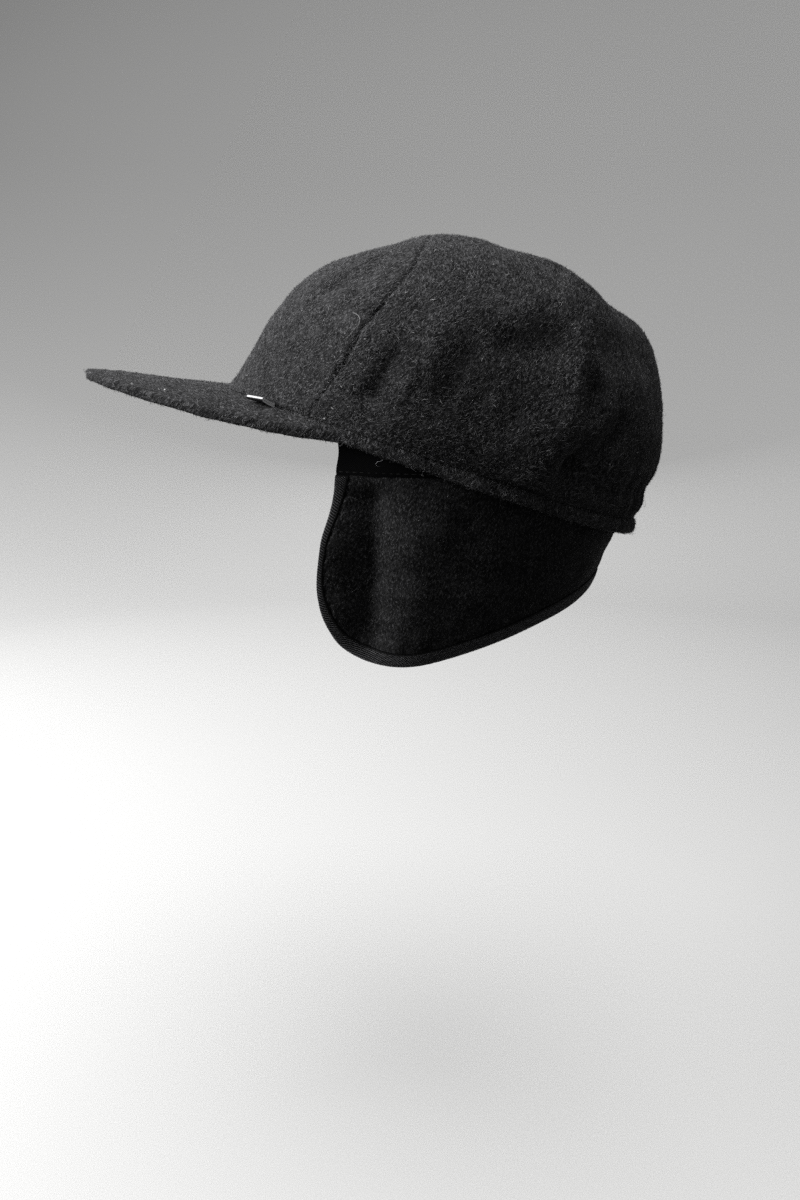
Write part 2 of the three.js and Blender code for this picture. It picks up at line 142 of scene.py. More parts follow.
def addFolds(lift, folds, x, y, scaleX, scaleY):  # each lies along a line: from, to, width and lift
    x, y = x * scaleX, y * scaleY
    for fromX, fromY, toX, toY, width, rise in folds:
        fromX, fromY = fromX * scaleX, fromY * scaleY
        dx, dy = toX * scaleX - fromX, toY * scaleY - fromY
        part = np.clip(((x - fromX) * dx + (y - fromY) * dy) / (dx * dx + dy * dy), 0, 1)
        lift = lift + rise * hump(np.hypot(x - fromX - dx * part, y - fromY - dy * part), width)
    return lift


def lengthAlong(line):  # distance along the line from its first point to each
    return np.concatenate([[0], np.cumsum(np.linalg.norm(np.diff(line, axis=0), axis=1))])


def cellCorners(grid):
    return grid[:-1, :-1], grid[1:, :-1], grid[1:, 1:], grid[:-1, 1:]


def surfaceArea(grid):
    a, b, c, d = cellCorners(grid)
    lower, upper = np.cross(b - a, c - a), np.cross(c - a, d - a)
    return (np.linalg.norm(lower, axis=-1) + np.linalg.norm(upper, axis=-1)).sum() / 2


# Camera

cameraLook = {"place": (0.45694, 0.04766, 0.03763), "forward": (-0.9614, -0.1404, -0.2368), "lens": 28}

cameraData = bpy.data.cameras.new("camera")
cameraData.lens = cameraLook["lens"]
cameraData.sensor_width = 36  # along the long, upright side
cameraData.clip_start = 0.01
camera = bpy.data.objects.new("camera", cameraData)
camera.location = cameraLook["place"]
camera.rotation_euler = Vector(cameraLook["forward"]).to_track_quat("-Z", "Y").to_euler()
bpy.context.scene.collection.objects.link(camera)
bpy.context.scene.camera = camera


# Shader maths: a wire is a socket that takes + - * / as Math nodes

class Wire:
    def __init__(self, finish, socket):
        self.finish = finish
        self.socket = socket

    def math(self, operation, *others, flipped=False):
        values = [self, *others][::-1] if flipped else [self, *others]
        return self.finish.add("Math", {"operation": operation}, dict(enumerate(values)))

    def __add__(self, other):
        return self.math("ADD", other)

    def __radd__(self, other):
        return self.math("ADD", other, flipped=True)

    def __sub__(self, other):
        return self.math("SUBTRACT", other)

    def __rsub__(self, other):
        return self.math("SUBTRACT", other, flipped=True)

    def __mul__(self, other):
        return self.math("MULTIPLY", other)

    def __rmul__(self, other):
        return self.math("MULTIPLY", other, flipped=True)

    def __truediv__(self, other):
        return self.math("DIVIDE", other)

    def __rtruediv__(self, other):
        return self.math("DIVIDE", other, flipped=True)

    def sine(self):
        return self.math("SINE")

    def held(self, low=0.0, high=1.0):
        return self.finish.add("Clamp", {}, {"Value": self, "Min": low, "Max": high})

    def rise(self, low, high):  # 0 below low, 1 above high
        return ((self - low) / (high - low)).held()


class Finish:
    def __init__(self, name):
        self.material = bpy.data.materials.new(name)
        self.material.use_nodes = True
        self.tree = self.material.node_tree
        self.tree.nodes.clear()

    def add(self, kind, settings, sockets, out=0):  # the settings come first, then values and links
        node = self.tree.nodes.new("ShaderNode" + kind)
        for name, value in settings.items():
            setattr(node, name, value)
        for name, value in sockets.items():
            if isinstance(value, Wire):
                self.tree.links.new(value.socket, node.inputs[name])
            else:
                node.inputs[name].default_value = value
        return Wire(self, node.outputs[out])

    def attribute(self, name, out):
        return self.add("Attribute", {"attribute_name": name}, {}, out=out)

    def blend(self, part, low, high):  # mix of two colours
        return self.add("Mix", {"data_type": "RGBA"}, {0: part, 6: colour(low), 7: colour(high)}, out=2)

    def noise(self, place, scale, detail=2.0, rough=0.5, warp=0.0):
        values = {"Scale": scale, "Detail": detail, "Roughness": rough, "Distortion": warp}
        return self.add("TexNoise", {}, {"Vector": place, **values})

    def curls(self, place, scale, width):  # thin winding lines, where a warped noise crosses its middle
        line = self.noise(place, scale, 2.0, 0.55, 1.4) - 0.5
        return (1 - line.math("ABSOLUTE") / width).held()

    def stretched(self, place, scale, angle=0.0):  # scale along each axis after a turn about the third
        spin = {"Vector": place, "Angle": angle * degree}
        turned = self.add("VectorRotate", {"rotation_type": "Z_AXIS"}, spin)
        return self.add("VectorMath", {"operation": "MULTIPLY"}, {0: turned, 1: scale})

    def bump(self, height, strength, distance):  # distance in mm
        values = {"Height": height, "Strength": strength, "Distance": distance * mm}
        return self.add("Bump", {}, values)

    def close(self, look, wires):  # the look holds fixed values, the wires what varies
        shader = self.add("BsdfPrincipled", {}, {**look, **wires})
        output = self.tree.nodes.new("ShaderNodeOutputMaterial")
        self.tree.links.new(shader.socket, output.inputs["Surface"])
        return self.material


def colour(value):
    return value if isinstance(value, Wire) else (*value, 1)


def shaded(value, shade):
    return tuple(part * shade for part in value)


# Finishes

woolLook = {
    "dark": (0.0055, 0.0055, 0.0058),
    "middle": (0.047, 0.047, 0.0485),
    "light": (0.17, 0.17, 0.175),
    "fleckLength": 1.9,  # mm
    "fleckWidth": 0.62,
    "napAngle": 24,
    "counterAngle": -38,
    "cloudSize": 9.0,
    "curlSize": 1.5,  # mm between the curly hairs felted into the face
    "curlWidth": 0.075,
    "bumpHeight": 0.4,
}


def woolFinish(name, shade=1.0):
    look = woolLook
    finish = Finish(name)
    place = finish.attribute("weave", 1)
    across, along = 1 / look["fleckWidth"], 1 / look["fleckLength"]
    lean = finish.stretched(place, (across, along, across), look["napAngle"])
    counterLean = finish.stretched(place, (across, along, across), look["counterAngle"])
    flecks = finish.noise(lean, 1.0, 2.0, 0.6, 0.6)
    crossed = finish.noise(counterLean, 1.3, 2.0, 0.6, 0.8)
    clouds = finish.noise(place, 1 / look["cloudSize"], 3.0, 0.55)
    grain = finish.noise(place, 2.6, 2.0, 0.6)
    curl = 0
    for size, patch in ((1.0, crossed), (1.45, flecks)):
        curls = finish.curls(place, size / look["curlSize"], look["curlWidth"])
        curl = curl + curls * (patch - 0.42).held() * 3
    body = flecks * 0.5 + crossed * 0.4 + grain * 0.12 + (clouds - 0.5) * 0.28
    body = body.rise(0.42, 0.62)
    bright = ((flecks - 0.5) * (crossed - 0.3) * 9 + (grain - 0.5) * 0.5 + curl).rise(0.35, 1.1)
    dark, middle, light = (shaded(look[key], shade) for key in ("dark", "middle", "light"))
    base = finish.blend(bright, finish.blend(body, dark, middle), light)
    height = flecks * 0.5 + crossed * 0.5 + grain * 0.35 + curl * 0.3
    bump = finish.bump(height, 0.55, look["bumpHeight"])
    fixed = {"Sheen Weight": 0.015, "Sheen Roughness": 0.6, "Specular IOR Level": 0.04}
    return finish.close(fixed, {"Base Color": base, "Roughness": 0.97 - bright * 0.2, "Normal": bump})


pileLook = {
    "dark": (0.006, 0.006, 0.0063),
    "light": (0.20, 0.20, 0.206),
    "pale": (0.50, 0.50, 0.50),
}


def pileFinish(name, shade=1.0):
    finish = Finish(name)
    tone = finish.attribute("tone", 2)
    dark, light, pale = (shaded(pileLook[key], shade) for key in ("dark", "light", "pale"))
    base = finish.blend(tone.rise(0.0, 0.8), dark, light)
    base = finish.blend(tone.rise(0.86, 1.0), base, pale)
    wires = {"Base Color": base, "Roughness": 0.75 + tone * 0.1}
    return finish.close({"Specular IOR Level": 0.08}, wires)


cottonLook = {"dark": (0.0018, 0.0018, 0.002), "light": (0.007, 0.007, 0.0074), "rib": 0.62}


def cottonFinish():
    look = cottonLook
    finish = Finish("cotton twill")
    place = finish.attribute("weave", 1)
    wave = finish.stretched(place, (2 * math.pi / look["rib"],) * 3, 45)
    line = finish.add("SeparateXYZ", {}, {"Vector": wave}).sine() * 0.5 + 0.5
    lint = finish.noise(place, 1.8, 3.0, 0.6)
    base = finish.blend((line * 0.6 + lint * 0.5).held(), look["dark"], look["light"])
    bump = finish.bump(line + lint * 0.5, 0.5, 0.1)
    fixed = {"Specular IOR Level": 0.015}
    return finish.close(fixed, {"Base Color": base, "Roughness": 0.85 + lint * 0.15, "Normal": bump})


tapeInk = {"dark": (0.0012, 0.0012, 0.0013), "light": (0.005, 0.005, 0.0054), "specular": 0.06}
# the ribs are light grey on the nearly black tape: painted highlight, for light catching the ribs
ribHighlightInk = {"dark": (0.036, 0.036, 0.038), "light": (0.160, 0.160, 0.168), "specular": 0.25}
tapeThread = 0.35  # mm


def tapeFinish(name, look):
    finish = Finish(name)
    place = finish.attribute("weave", 1)
    threads = finish.stretched(place, (1 / tapeThread, 0.3, 1.0), 47)
    yarn = finish.noise(threads, 1.0, 2.0, 0.5)
    wear = finish.noise(place, 0.25, 3.0, 0.5)
    worn = (yarn * 0.8 + (wear - 0.5) * 0.6).rise(0.25, 0.75)
    base = finish.blend(worn, look["dark"], look["light"])
    bump = finish.bump(yarn, 0.4, 0.08)
    fixed = {"Specular IOR Level": look["specular"]}
    return finish.close(fixed, {"Base Color": base, "Roughness": 0.58 + yarn * 0.2, "Normal": bump})


threadLook = {"dark": (0.003, 0.003, 0.003), "light": (0.012, 0.012, 0.0125)}


def threadFinish():
    finish = Finish("sewing thread")
    place = finish.add("TexCoord", {}, {}, out=3)
    twist = finish.noise(place, 4000.0, 1.0, 0.5)
    base = finish.blend(twist.rise(0.35, 0.65), threadLook["dark"], threadLook["light"])
    wires = {"Base Color": base, "Roughness": 0.6 + twist * 0.2}
    return finish.close({"Specular IOR Level": 0.15}, wires)


ribbonLook = {"black": (0.004, 0.004, 0.0044), "paleEdgeWithHighlight": (0.62, 0.62, 0.63)}


def ribbonFinish():
    look = ribbonLook
    finish = Finish("satin ribbon")
    place = finish.attribute("weave", 1)
    fold = finish.add("SeparateXYZ", {}, {"Vector": place}, out=1)
    yarn = finish.noise(finish.stretched(place, (6.0, 0.4, 1.0)), 1.0, 2.0, 0.5)
    # the fold's upper face is painted pale: partly the ribbon's pale edge, partly painted highlight
    # where the light falls on the top of the fold
    base = finish.blend(fold.rise(0.35, 0.6), look["black"], look["paleEdgeWithHighlight"])
    base = finish.blend((yarn - 0.5).held() * 0.8, base, look["black"])
    bump = finish.bump(yarn, 0.3, 0.05)
    fixed = {"Specular IOR Level": 0.2}
    return finish.close(fixed, {"Base Color": base, "Roughness": 0.4 + yarn * 0.2, "Normal": bump})


wool = woolFinish("wool melton")
# painted shade: the flap's wool and pile are darker copies of the crown's wool and pile, at 0.62 and
# 0.85
flapWoolPaintedShade = woolFinish("flap wool", 0.62)
pile = pileFinish("wool pile")
flapPilePaintedShade = pileFinish("flap wool pile", 0.85)
cotton = cottonFinish()
tape = tapeFinish("twill tape", tapeInk)
tapeRibHighlight = tapeFinish("twill rib with painted highlight", ribHighlightInk)
thread = threadFinish()
ribbon = ribbonFinish()
print("finishes made:", len(bpy.data.materials))


# Mesh making

def makeMesh(name, points, faces, material, weave=None, tone=None, flat=False):
    mesh = bpy.data.meshes.new(name)
    groups = faces if isinstance(faces, list) else [faces]  # each group has one number of sides
    corners = np.concatenate([np.asarray(group, np.int32).ravel() for group in groups])
    sides = np.concatenate([np.full(len(group), np.shape(group)[1]) for group in groups])
    mesh.vertices.add(len(points))
    mesh.vertices.foreach_set("co", (np.asarray(points) * mm).astype(np.float32).ravel())
    mesh.loops.add(len(corners))
    mesh.loops.foreach_set("vertex_index", corners)
    mesh.polygons.add(len(sides))
    mesh.polygons.foreach_set("loop_start", (np.cumsum(sides) - sides).astype(np.int32))
    mesh.update(calc_edges=True)
    mesh.validate()
    layers = ("weave", "FLOAT_VECTOR", "vector", weave), ("tone", "FLOAT", "value", tone)
    for key, kind, field, values in layers:
        if values is not None:
            layer = mesh.attributes.new(key, kind, "POINT")
            layer.data.foreach_set(field, np.asarray(values, np.float32).ravel())
    mesh.polygons.foreach_set("use_smooth", np.full(len(sides), not flat))
    if not flat:
        mesh.set_sharp_from_angle(angle=55 * degree)
    mesh.materials.append(material)
    piece = bpy.data.objects.new(name, mesh)
    bpy.context.scene.collection.objects.link(piece)
    return piece


def gridFaces(columns, rows, wrapColumns=False, wrapRows=False):
    column = np.arange(columns if wrapColumns else columns - 1)[:, None]
    row = np.arange(rows if wrapRows else rows - 1)[None, :]
    nextColumn, nextRow = (column + 1) % columns, (row + 1) % rows
    corners = (column * rows + row, nextColumn * rows + row,
               nextColumn * rows + nextRow, column * rows + nextRow)
    return stack(*corners).reshape(-1, 4)


def tubePoints(line, across, over, size, sides):  # a ring of points round every point of a line
    corner = np.linspace(0, 2 * math.pi, sides, endpoint=False)[:, None]
    ring = across[..., None, :] * np.cos(corner) + over[..., None, :] * np.sin(corner)
    return line[..., None, :] + ring * size[..., None, None]


def tubeFaces(rings, sides):  # triangles of a closed tube
    tube = gridFaces(rings, sides, wrapRows=True)[:, ::-1]
    end = np.array([(0, n, n + 1) for n in range(1, sides - 1)])
    otherEnd = end[:, ::-1] + sides * (rings - 1)
    return np.concatenate([tube[:, [0, 1, 2]], tube[:, [0, 2, 3]], end, otherEnd])


def clothMesh(name, outer, inner, material, weave):  # closed cloth from an outer and an inner grid
    columns, rows = outer.shape[:2]
    grid = gridFaces(columns, rows)
    shift = columns * rows
    edge = np.concatenate([
        np.arange(columns) * rows,
        (columns - 1) * rows + np.arange(1, rows),
        np.arange(columns - 2, -1, -1) * rows + rows - 1,
        np.arange(rows - 2, 0, -1),
    ])
    after = np.roll(edge, -1)
    rim = np.stack([after, edge, edge + shift, after + shift], axis=-1)
    faces = np.concatenate([grid, grid[:, ::-1] + shift, rim])
    points = np.concatenate([outer.reshape(-1, 3), inner.reshape(-1, 3)])
    inside = weave + (40, 55, 3)  # another part of the pattern
    places = np.concatenate([weave.reshape(-1, 3), inside.reshape(-1, 3)])
    return makeMesh(name, points, faces, material, places)


def loopMesh(name, grid, material, weave, ring=False):  # each column is a closed loop of points
    columns, rows = grid.shape[:2]
    faces = [gridFaces(columns, rows, wrapColumns=ring, wrapRows=True)]
    points, places = [grid.reshape(-1, 3)], [weave.reshape(-1, 3)]
    if not ring:  # a fan of triangles closes each end
        fans = []
        for end, column in enumerate((0, columns - 1)):
            here = column * rows + np.arange(rows)
            around = np.roll(here, -1)
            pair = (around, here) if end == 0 else (here, around)
            fans.append(np.stack([*pair, np.full(rows, columns * rows + end)], axis=-1))
            points.append(grid[column].mean(0)[None])
            places.append(weave[column].mean(0)[None])
        faces.append(np.concatenate(fans))
    return makeMesh(name, np.concatenate(points), faces, material, np.concatenate(places))


# Crown

crown = {
    "halfWidth": 83.0,  # the head opening, along the hem's lower edge
    "frontY": -96.8,
    "backY": 94.0,
    "frontHeight": 26.8,
    "backHeight": -35.5,
    # rows from the hem to near the top: front y and z, side x and z, back y and z
    "levels": [
        (-97.3, 33.0, 82.5, 6.3, 93.8, -29.2),
        (-88.8, 47.0, 84.5, 18.5, 99.3, -16.5),
        (-83.4, 55.3, 86.0, 34.0, 103.0, 4.0),
        (-76.0, 66.0, 83.5, 52.0, 101.2, 32.0),
        (-63.8, 78.0, 75.0, 68.5, 91.2, 58.0),
        (-46.4, 87.5, 57.0, 83.0, 67.8, 78.8),
        (-24.0, 93.3, 30.0, 93.6, 34.5, 90.8),
    ],
    "topY": -0.5,
    "topZ": 97.8,
    "levelStep": 17.0,
    "lastLevel": 6.985,
    "flatTop": 6.96,
    "wall": 2.2,
}
crown["halfLength"] = (crown["backY"] - crown["frontY"]) / 2
crown["middleY"] = (crown["backY"] + crown["frontY"]) / 2

levels = np.array(crown["levels"])
top = (crown["topY"], crown["topZ"])
frontLine = curveThrough([*levels[:, 0:2], top, levels[-1, 4:6]])
backLine = curveThrough([*levels[:, 4:6], top, levels[-1, 0:2]])
sideLine = curveThrough([*levels[:, 2:4], (0, top[1]), levels[-1, 2:4] * (-1, 1)])

# seams between the panels: turn at the hem, half way up and near the top, and the swell beside it in mm
seams = [
    (0, 0, 0, 0.3),
    (62, 68, 76, 0.8),
    (120, 125, 138, 3.6),
    (180, 180, 180, 1.2),
    (240, 235, 222, 2.6),
    (298, 292, 284, 0.8),
    (360, 360, 360, 0.3),
]
seamLook = {
    "swellWidth": 13.0,
    "swellLevel": 3.0,
    "swellSpread": 2.2,
    "grooveDepth": 0.5,
    "grooveWidth": 1.5,
    "rollRadius": 0.75,
    "rollShare": 0.67,
    "hemRollShare": 0.35,
    "puckerPitch": 8.5,
    "puckerWidth": 4.5,
    "puckerLift": 0.22,
}

# folds by turn and level: from, to, width and lift in mm
crownFolds = {
    "front crease": (47, 3.6, 62, 4.8, 6, -1.2),
    "front hollow": (46, 1.4, 48, 2.5, 12, -1.2),
    "first ridge": (70, 1.4, 73, 2.4, 6, 1.2),
    "first valley": (76, 1.1, 80.5, 2.7, 5, -0.8),
    "second ridge": (82, 1.3, 88, 3.0, 7, 1.1),
    "second valley": (92.5, 1.9, 96, 2.75, 6, -1.2),
    "side swell": (99, 3.2, 104, 2.5, 11, 0.4),
    "low side swell": (68, 0.85, 112, 0.85, 11, 1.5),
    "first lip": (62, 0.3, 65.5, 2.6, 3.5, 0.7),
    "temple dent": (72, 3.2, 82, 3.3, 6, -1.2),
    "corner bulge": (109, 3.95, 123, 4.1, 7, 1.3),
    "corner hollow": (104.5, 3.0, 116.5, 3.2, 5.5, -2.5),
    "seam swell": (125, 3.4, 121, 2.0, 4.5, 1.8),
    "low seam swell": (119, 1.8, 120, 0.5, 13, 5.0),
    "valley behind the seam": (128, 2.5, 125.5, 1.2, 5.5, -3.8),
    "seam foot": (126, 1.2, 126, 0.5, 7, -3.6),
    "top back dent": (155, 4.6, 186, 4.6, 9, -4.2),
    "top swell": (98, 6.1, 124, 6.1, 11, 1.0),
    "top side dip": (120, 5.7, 150, 5.9, 9, -1.4),
    "high side dip": (93, 4.6, 104, 3.9, 7, -0.9),
    "back valley": (135, 3.3, 156, 3.4, 7, -1.8),
    "back bulge": (132, 2.75, 148, 2.95, 6, 0.9),
    "slanting ridge": (124, 1.55, 134.5, 2.3, 5.5, 3.0),
    "slanting valley": (128, 1.2, 138.5, 2.0, 6, -3.2),
    "back swell": (146, 2.2, 170, 2.4, 14, 0.8),
    "tuck at the back": (124, 0.8, 180, 1.05, 5, -2.4),
    "right tuck at the back": (182, 1.05, 237, 0.8, 5, -2.7),
    "right back valley": (218, 2.4, 204, 3.2, 9, -2.2),
    "right slanting valley": (236, 1.3, 226, 2.2, 7, -2.4),
    "right side valley": (272, 1.3, 266, 3.0, 9, -2.2),
    "right side ridge": (284, 1.4, 279, 2.8, 8, 1.6),
    "right low side swell": (248, 0.85, 292, 0.85, 11, 1.5),
    "right top dip": (210, 5.4, 240, 5.2, 12, -2.0),
}
# small creases
creases = {
    "by the first seam": (57, 2.2, 61, 3.9, 3.2, -0.7),
    "over the first ridge": (66, 2.0, 71, 3.0, 3.0, 0.5),
    "between the valleys": (83, 2.3, 84, 3.4, 3.0, -0.5),
    "low first valley": (74.3, 1.1, 77.3, 2.3, 2.6, -0.55),
    "low second ridge": (83.8, 1.2, 85.2, 2.0, 2.4, -0.6),
    "below the side swell": (97, 1.2, 101, 2.2, 3.6, -0.7),
    "low side ridge": (106, 0.6, 112, 1.8, 4.0, 0.7),
    "under the corner": (119, 3.6, 127, 4.4, 3.5, 0.6),
    "back crease": (150, 1.6, 163, 1.9, 4.0, -0.8),
    "front right crease": (312, 2.2, 302, 3.6, 4.0, -0.7),
    "right side crease": (262, 2.2, 255, 3.4, 3.6, -0.6),
    "right back crease": (206, 1.7, 196, 2.0, 4.0, -0.7),
}
gathers = {"reach": 52.0, "count": 13, "lift": 0.8, "level": 0.7}
# the front spreads out and down where it meets the peak
frontFoot = {"reach": 30.0, "fade": 0.75, "out": 4.8, "down": 2.1, "jointDown": 1.6}


def crownBase(turn, level):
    front, back, side = frontLine(level), backLine(level), sideLine(level)
    halfLength = (back[..., 0] - front[..., 0]) / 2
    y = (front[..., 0] + back[..., 0]) / 2 - halfLength * np.cos(turn * degree)
    z = roundOval(front[..., 1], side[..., 1], back[..., 1], turn)
    return stack(side[..., 0] * np.sin(turn * degree), y, z)


def crownRadius(level):
    halfLength = (backLine(level)[..., 0] - frontLine(level)[..., 0]) / 2
    return (sideLine(level)[..., 0] + halfLength) / 2


def crownNormal(turn, level):
    along = crownBase(turn + 0.5, level) - crownBase(turn - 0.5, level)
    up = crownBase(turn, np.minimum(level + 0.04, 7)) - crownBase(turn, np.maximum(level - 0.04, 0))
    return unit(np.cross(along, up))


def seamTurn(seam, level):
    lower = mix(seam[0], seam[1], smooth(level / 3.2))
    return mix(lower, seam[2], smooth((level - 2.6) / 2.4))


def crownLift(turn, level):
    perDegree = crownRadius(level) * degree
    fadeAtTop = smooth((crown["flatTop"] - level) / 1.2)
    lift = 0
    for seam in seams:
        away = (turn - seamTurn(seam, level)) * perDegree
        shoulder = hump(level - seamLook["swellLevel"], seamLook["swellSpread"])
        lift = lift + seam[3] * hump(away, seamLook["swellWidth"]) * shoulder * fadeAtTop
        lift = lift - seamLook["grooveDepth"] * hump(away, seamLook["grooveWidth"]) * fadeAtTop
    folds = (*crownFolds.values(), *creases.values())
    lift = addFolds(lift, folds, turn, level, perDegree, crown["levelStep"])
    fromBack = np.abs(turn - 180) / gathers["reach"]
    swing = np.cos(fromBack * gathers["count"] * math.pi) * smooth((1 - fromBack) * 4)
    lift = lift + gathers["lift"] * swing * hump(level - gathers["level"], gathers["level"])
    return lift * smooth(level / 0.35)


def footShare(turn):
    return hump(np.minimum(turn, 360 - turn), frontFoot["reach"])


def outwardAt(turn):
    sine, cosine = np.sin(turn * degree), np.cos(turn * degree)
    return unit(stack(crown["halfLength"] * sine, -crown["halfWidth"] * cosine, 0))


def crownPlace(turn, level, depth, lift):
    normal = crownNormal(turn, level)
    wall = unit(mix(outwardAt(turn), normal, smooth(level / 0.6)[..., None]))
    foot = outwardAt(turn) * frontFoot["out"] - stack(0, 0, frontFoot["down"])
    foot = foot * (footShare(turn) * np.exp(-level / frontFoot["fade"]))[..., None]
    return crownBase(turn, level) + foot + normal * np.asarray(lift)[..., None] - wall * depth


panelLook = {
    "columns": 66,
    "rows": 84,
    "seamLap": 0.05,  # the panels' edges pass into each other by this much
    "waveSize": 26.0,
    "waveLift": 0.38,
    "crumpleSize": 7.5,
    "crumpleLift": 0.09,
    "patternStep": 130,
    "names": ["front_left", "side_left", "back_left", "back_right", "side_right", "front_right"],
}


def makePanel(number):
    look = panelLook
    across = np.linspace(-1, 1, look["columns"] + 1)
    across = (0.5 + 0.5 * np.sign(across) * np.abs(across) ** 0.85)[:, None]
    level = crown["lastLevel"] * np.linspace(0, 1, look["rows"] + 1)[None, :] ** 1.02
    perDegree = crownRadius(level) * degree
    lap = look["seamLap"] / 2 / perDegree
    fromTurn, toTurn = seamTurn(seams[number], level) - lap, seamTurn(seams[number + 1], level) + lap
    turn = mix(fromTurn, toTurn, across)
    level = np.broadcast_to(level, turn.shape)
    base = crownBase(turn, level)
    nearest = np.minimum(turn - fromTurn, toTurn - turn) * perDegree
    fromHem = level * crown["levelStep"]
    radius = seamLook["rollRadius"]
    roll = 0
    for far, share in ((nearest, seamLook["rollShare"]), (fromHem, seamLook["hemRollShare"])):
        roll = roll + share * (radius - np.sqrt(radius**2 - np.clip(radius - far, 0, radius) ** 2))
    fade = smooth((6.9 - level) / 0.8) * smooth(level / 0.3)
    beat = ripple(base, 3 * seamLook["puckerPitch"], 40 + number)
    pucker = np.sin(fromHem * 2 * math.pi / seamLook["puckerPitch"] + 2.2 * beat)
    pucker = pucker * hump(nearest, seamLook["puckerWidth"])
    waves = look["waveLift"] * ripple(base, look["waveSize"], 11)
    crumples = look["crumpleLift"] * ripple(base, look["crumpleSize"], 12)
    fine = (waves + crumples + seamLook["puckerLift"] * pucker) * fade - roll
    lift = crownLift(turn, level)
    outer = crownPlace(turn, level, 0, lift + fine)
    inner = crownPlace(turn, level, crown["wall"], lift)
    middle = (seamTurn(seams[number], level) + seamTurn(seams[number + 1], level)) / 2
    weave = stack((turn - middle) * perDegree + look["patternStep"] * number, fromHem, 0)
    name = "crown_" + look["names"][number]
    piece = clothMesh(name, outer, inner, wool, weave)
    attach(piece, "root")
    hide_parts("panel_" + look["names"][number])
    return outer


panelFaces = [makePanel(number) for number in range(6)]
print("crown panels made")


# Hem

hemLook = {
    "steps": 420,
    "profile": 22,
    "height": 6.0,
    "bulge": 1.75,
    "inset": 1.3,
    "squareness": 3.2,
    "waveLift": 0.45,
}
# where the second seams push the hem out, and the dips behind them: turn, width and lift in mm
hemSwells = [(116.5, 12, 2.6), (131, 9, -0.8), (229, 9, -0.2), (243.5, 12, 0.7)]
hemScale = 1.55  # mm for each degree


def hemEdge(turn):
    return stack(
        crown["halfWidth"] * np.sin(turn * degree),
        crown["middleY"] - crown["halfLength"] * np.cos(turn * degree),
        roundOval(crown["frontHeight"], 0, crown["backHeight"], turn),
    )


def hemPlace(turn, up, out):  # up is 0 at the lower edge and 1 where the panels start
    swell = sum(rise * hump((turn - place) * hemScale, width) for place, width, rise in hemSwells)
    wall = mix(hemEdge(turn), crownBase(turn, np.zeros_like(turn)), np.asarray(up)[..., None])
    return wall + outwardAt(turn) * np.asarray(out + swell)[..., None]


def makeHem():
    look = hemLook
    turn = np.linspace(0, 360, look["steps"], endpoint=False)[:, None]
    angle = np.linspace(0, 2 * math.pi, look["profile"], endpoint=False)[None, :]
    power = 2 / look["squareness"]
    out = look["bulge"] * (np.sign(np.cos(angle)) * np.abs(np.cos(angle)) ** power) - look["inset"]
    up = 0.48 + 0.48 * np.sign(np.sin(angle)) * np.abs(np.sin(angle)) ** power
    place = hemPlace(turn, np.full_like(turn, 0.5), np.zeros_like(turn))
    swell = look["waveLift"] * (ripple(place, 16, 21) + 0.5 * ripple(place, 5, 22))
    outside = smooth((out + 1.6) / 1.0)
    grid = hemPlace(turn + 0 * up, up + 0 * turn, out + swell * outside)
    weave = stack(turn * crown["halfWidth"] * 1.09 * degree, up * look["height"] + out, 0)
    piece = loopMesh("hem", grid, wool, weave, ring=True)
    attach(piece, "root")
    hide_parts("crown_hem")
    # the fibres stand on the outer face and the lower edge
    shown = np.flatnonzero((out[0] > -1.4) | (up[0] < 0.12))
    order = shown[np.argsort((shown - look["profile"] // 2) % look["profile"])]
    return np.concatenate([grid, grid[:1]])[:, order]


hemFace = makeHem()


# Stitches: short thread ends sunk in the cloth, along a line of places with the cloth's outward side

stitchLook = {
    "hem": {"up": 0.985, "out": -0.35, "length": 2.3, "pitch": 3.3, "thickness": 0.42},
    "band": {"height": 1.3, "length": 2.3, "pitch": 3.2, "thickness": 0.36},
    "tape": {"inward": 6.1, "length": 2.0, "pitch": 2.9, "thickness": 0.3},
}


def makeStitches(name, places, outward, look):
    thickness = look["thickness"]
    along = lengthAlong(places)
    count = int(along[-1] / look["pitch"])
    starts = (np.arange(count) + 0.2) * (along[-1] / count)
    sides, rings = 6, np.linspace(0, 1, 5)
    middle = starts[:, None] + look["length"] * rings[None, :]
    centre, lift = (np.stack([np.interp(middle, along, values[:, axis]) for axis in range(3)], axis=-1)
                    for values in (places, outward))
    forward = unit(centre[:, -1:] - centre[:, :1])
    side = unit(np.cross(forward, unit(lift)))
    lift = np.cross(side, forward)
    arc = np.sin(rings * math.pi)[None, :]
    centre = centre + lift * thickness * (arc * 0.55 - 0.5)[..., None]
    size = thickness / 2 * (0.45 + 0.55 * np.sqrt(np.maximum(arc, 0)))
    points = tubePoints(centre, side, lift, size, sides)
    block = gridFaces(len(rings), sides, wrapRows=True)
    last = (len(rings) - 1) * sides
    caps = np.array([(0, 1, 2, 3), (0, 3, 4, 5), (last + 3, last + 2, last + 1, last),
                     (last + 5, last + 4, last + 3, last)])
    faces = np.concatenate([block[:, ::-1], caps[:, ::-1]])
    faces = (faces[None] + np.arange(count)[:, None, None] * len(rings) * sides).reshape(-1, 4)
    piece = makeMesh(name, points.reshape(-1, 3), faces, thread)
    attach(piece, "root")


def makeHemSeam():
    look = stitchLook["hem"]
    turn = np.linspace(0, 360, 900)
    line = hemPlace(turn, np.full_like(turn, look["up"]), np.full_like(turn, look["out"]))
    makeStitches("hem_stitches", line, outwardAt(turn), look)


makeHemSeam()
print("hem made")


# Peak

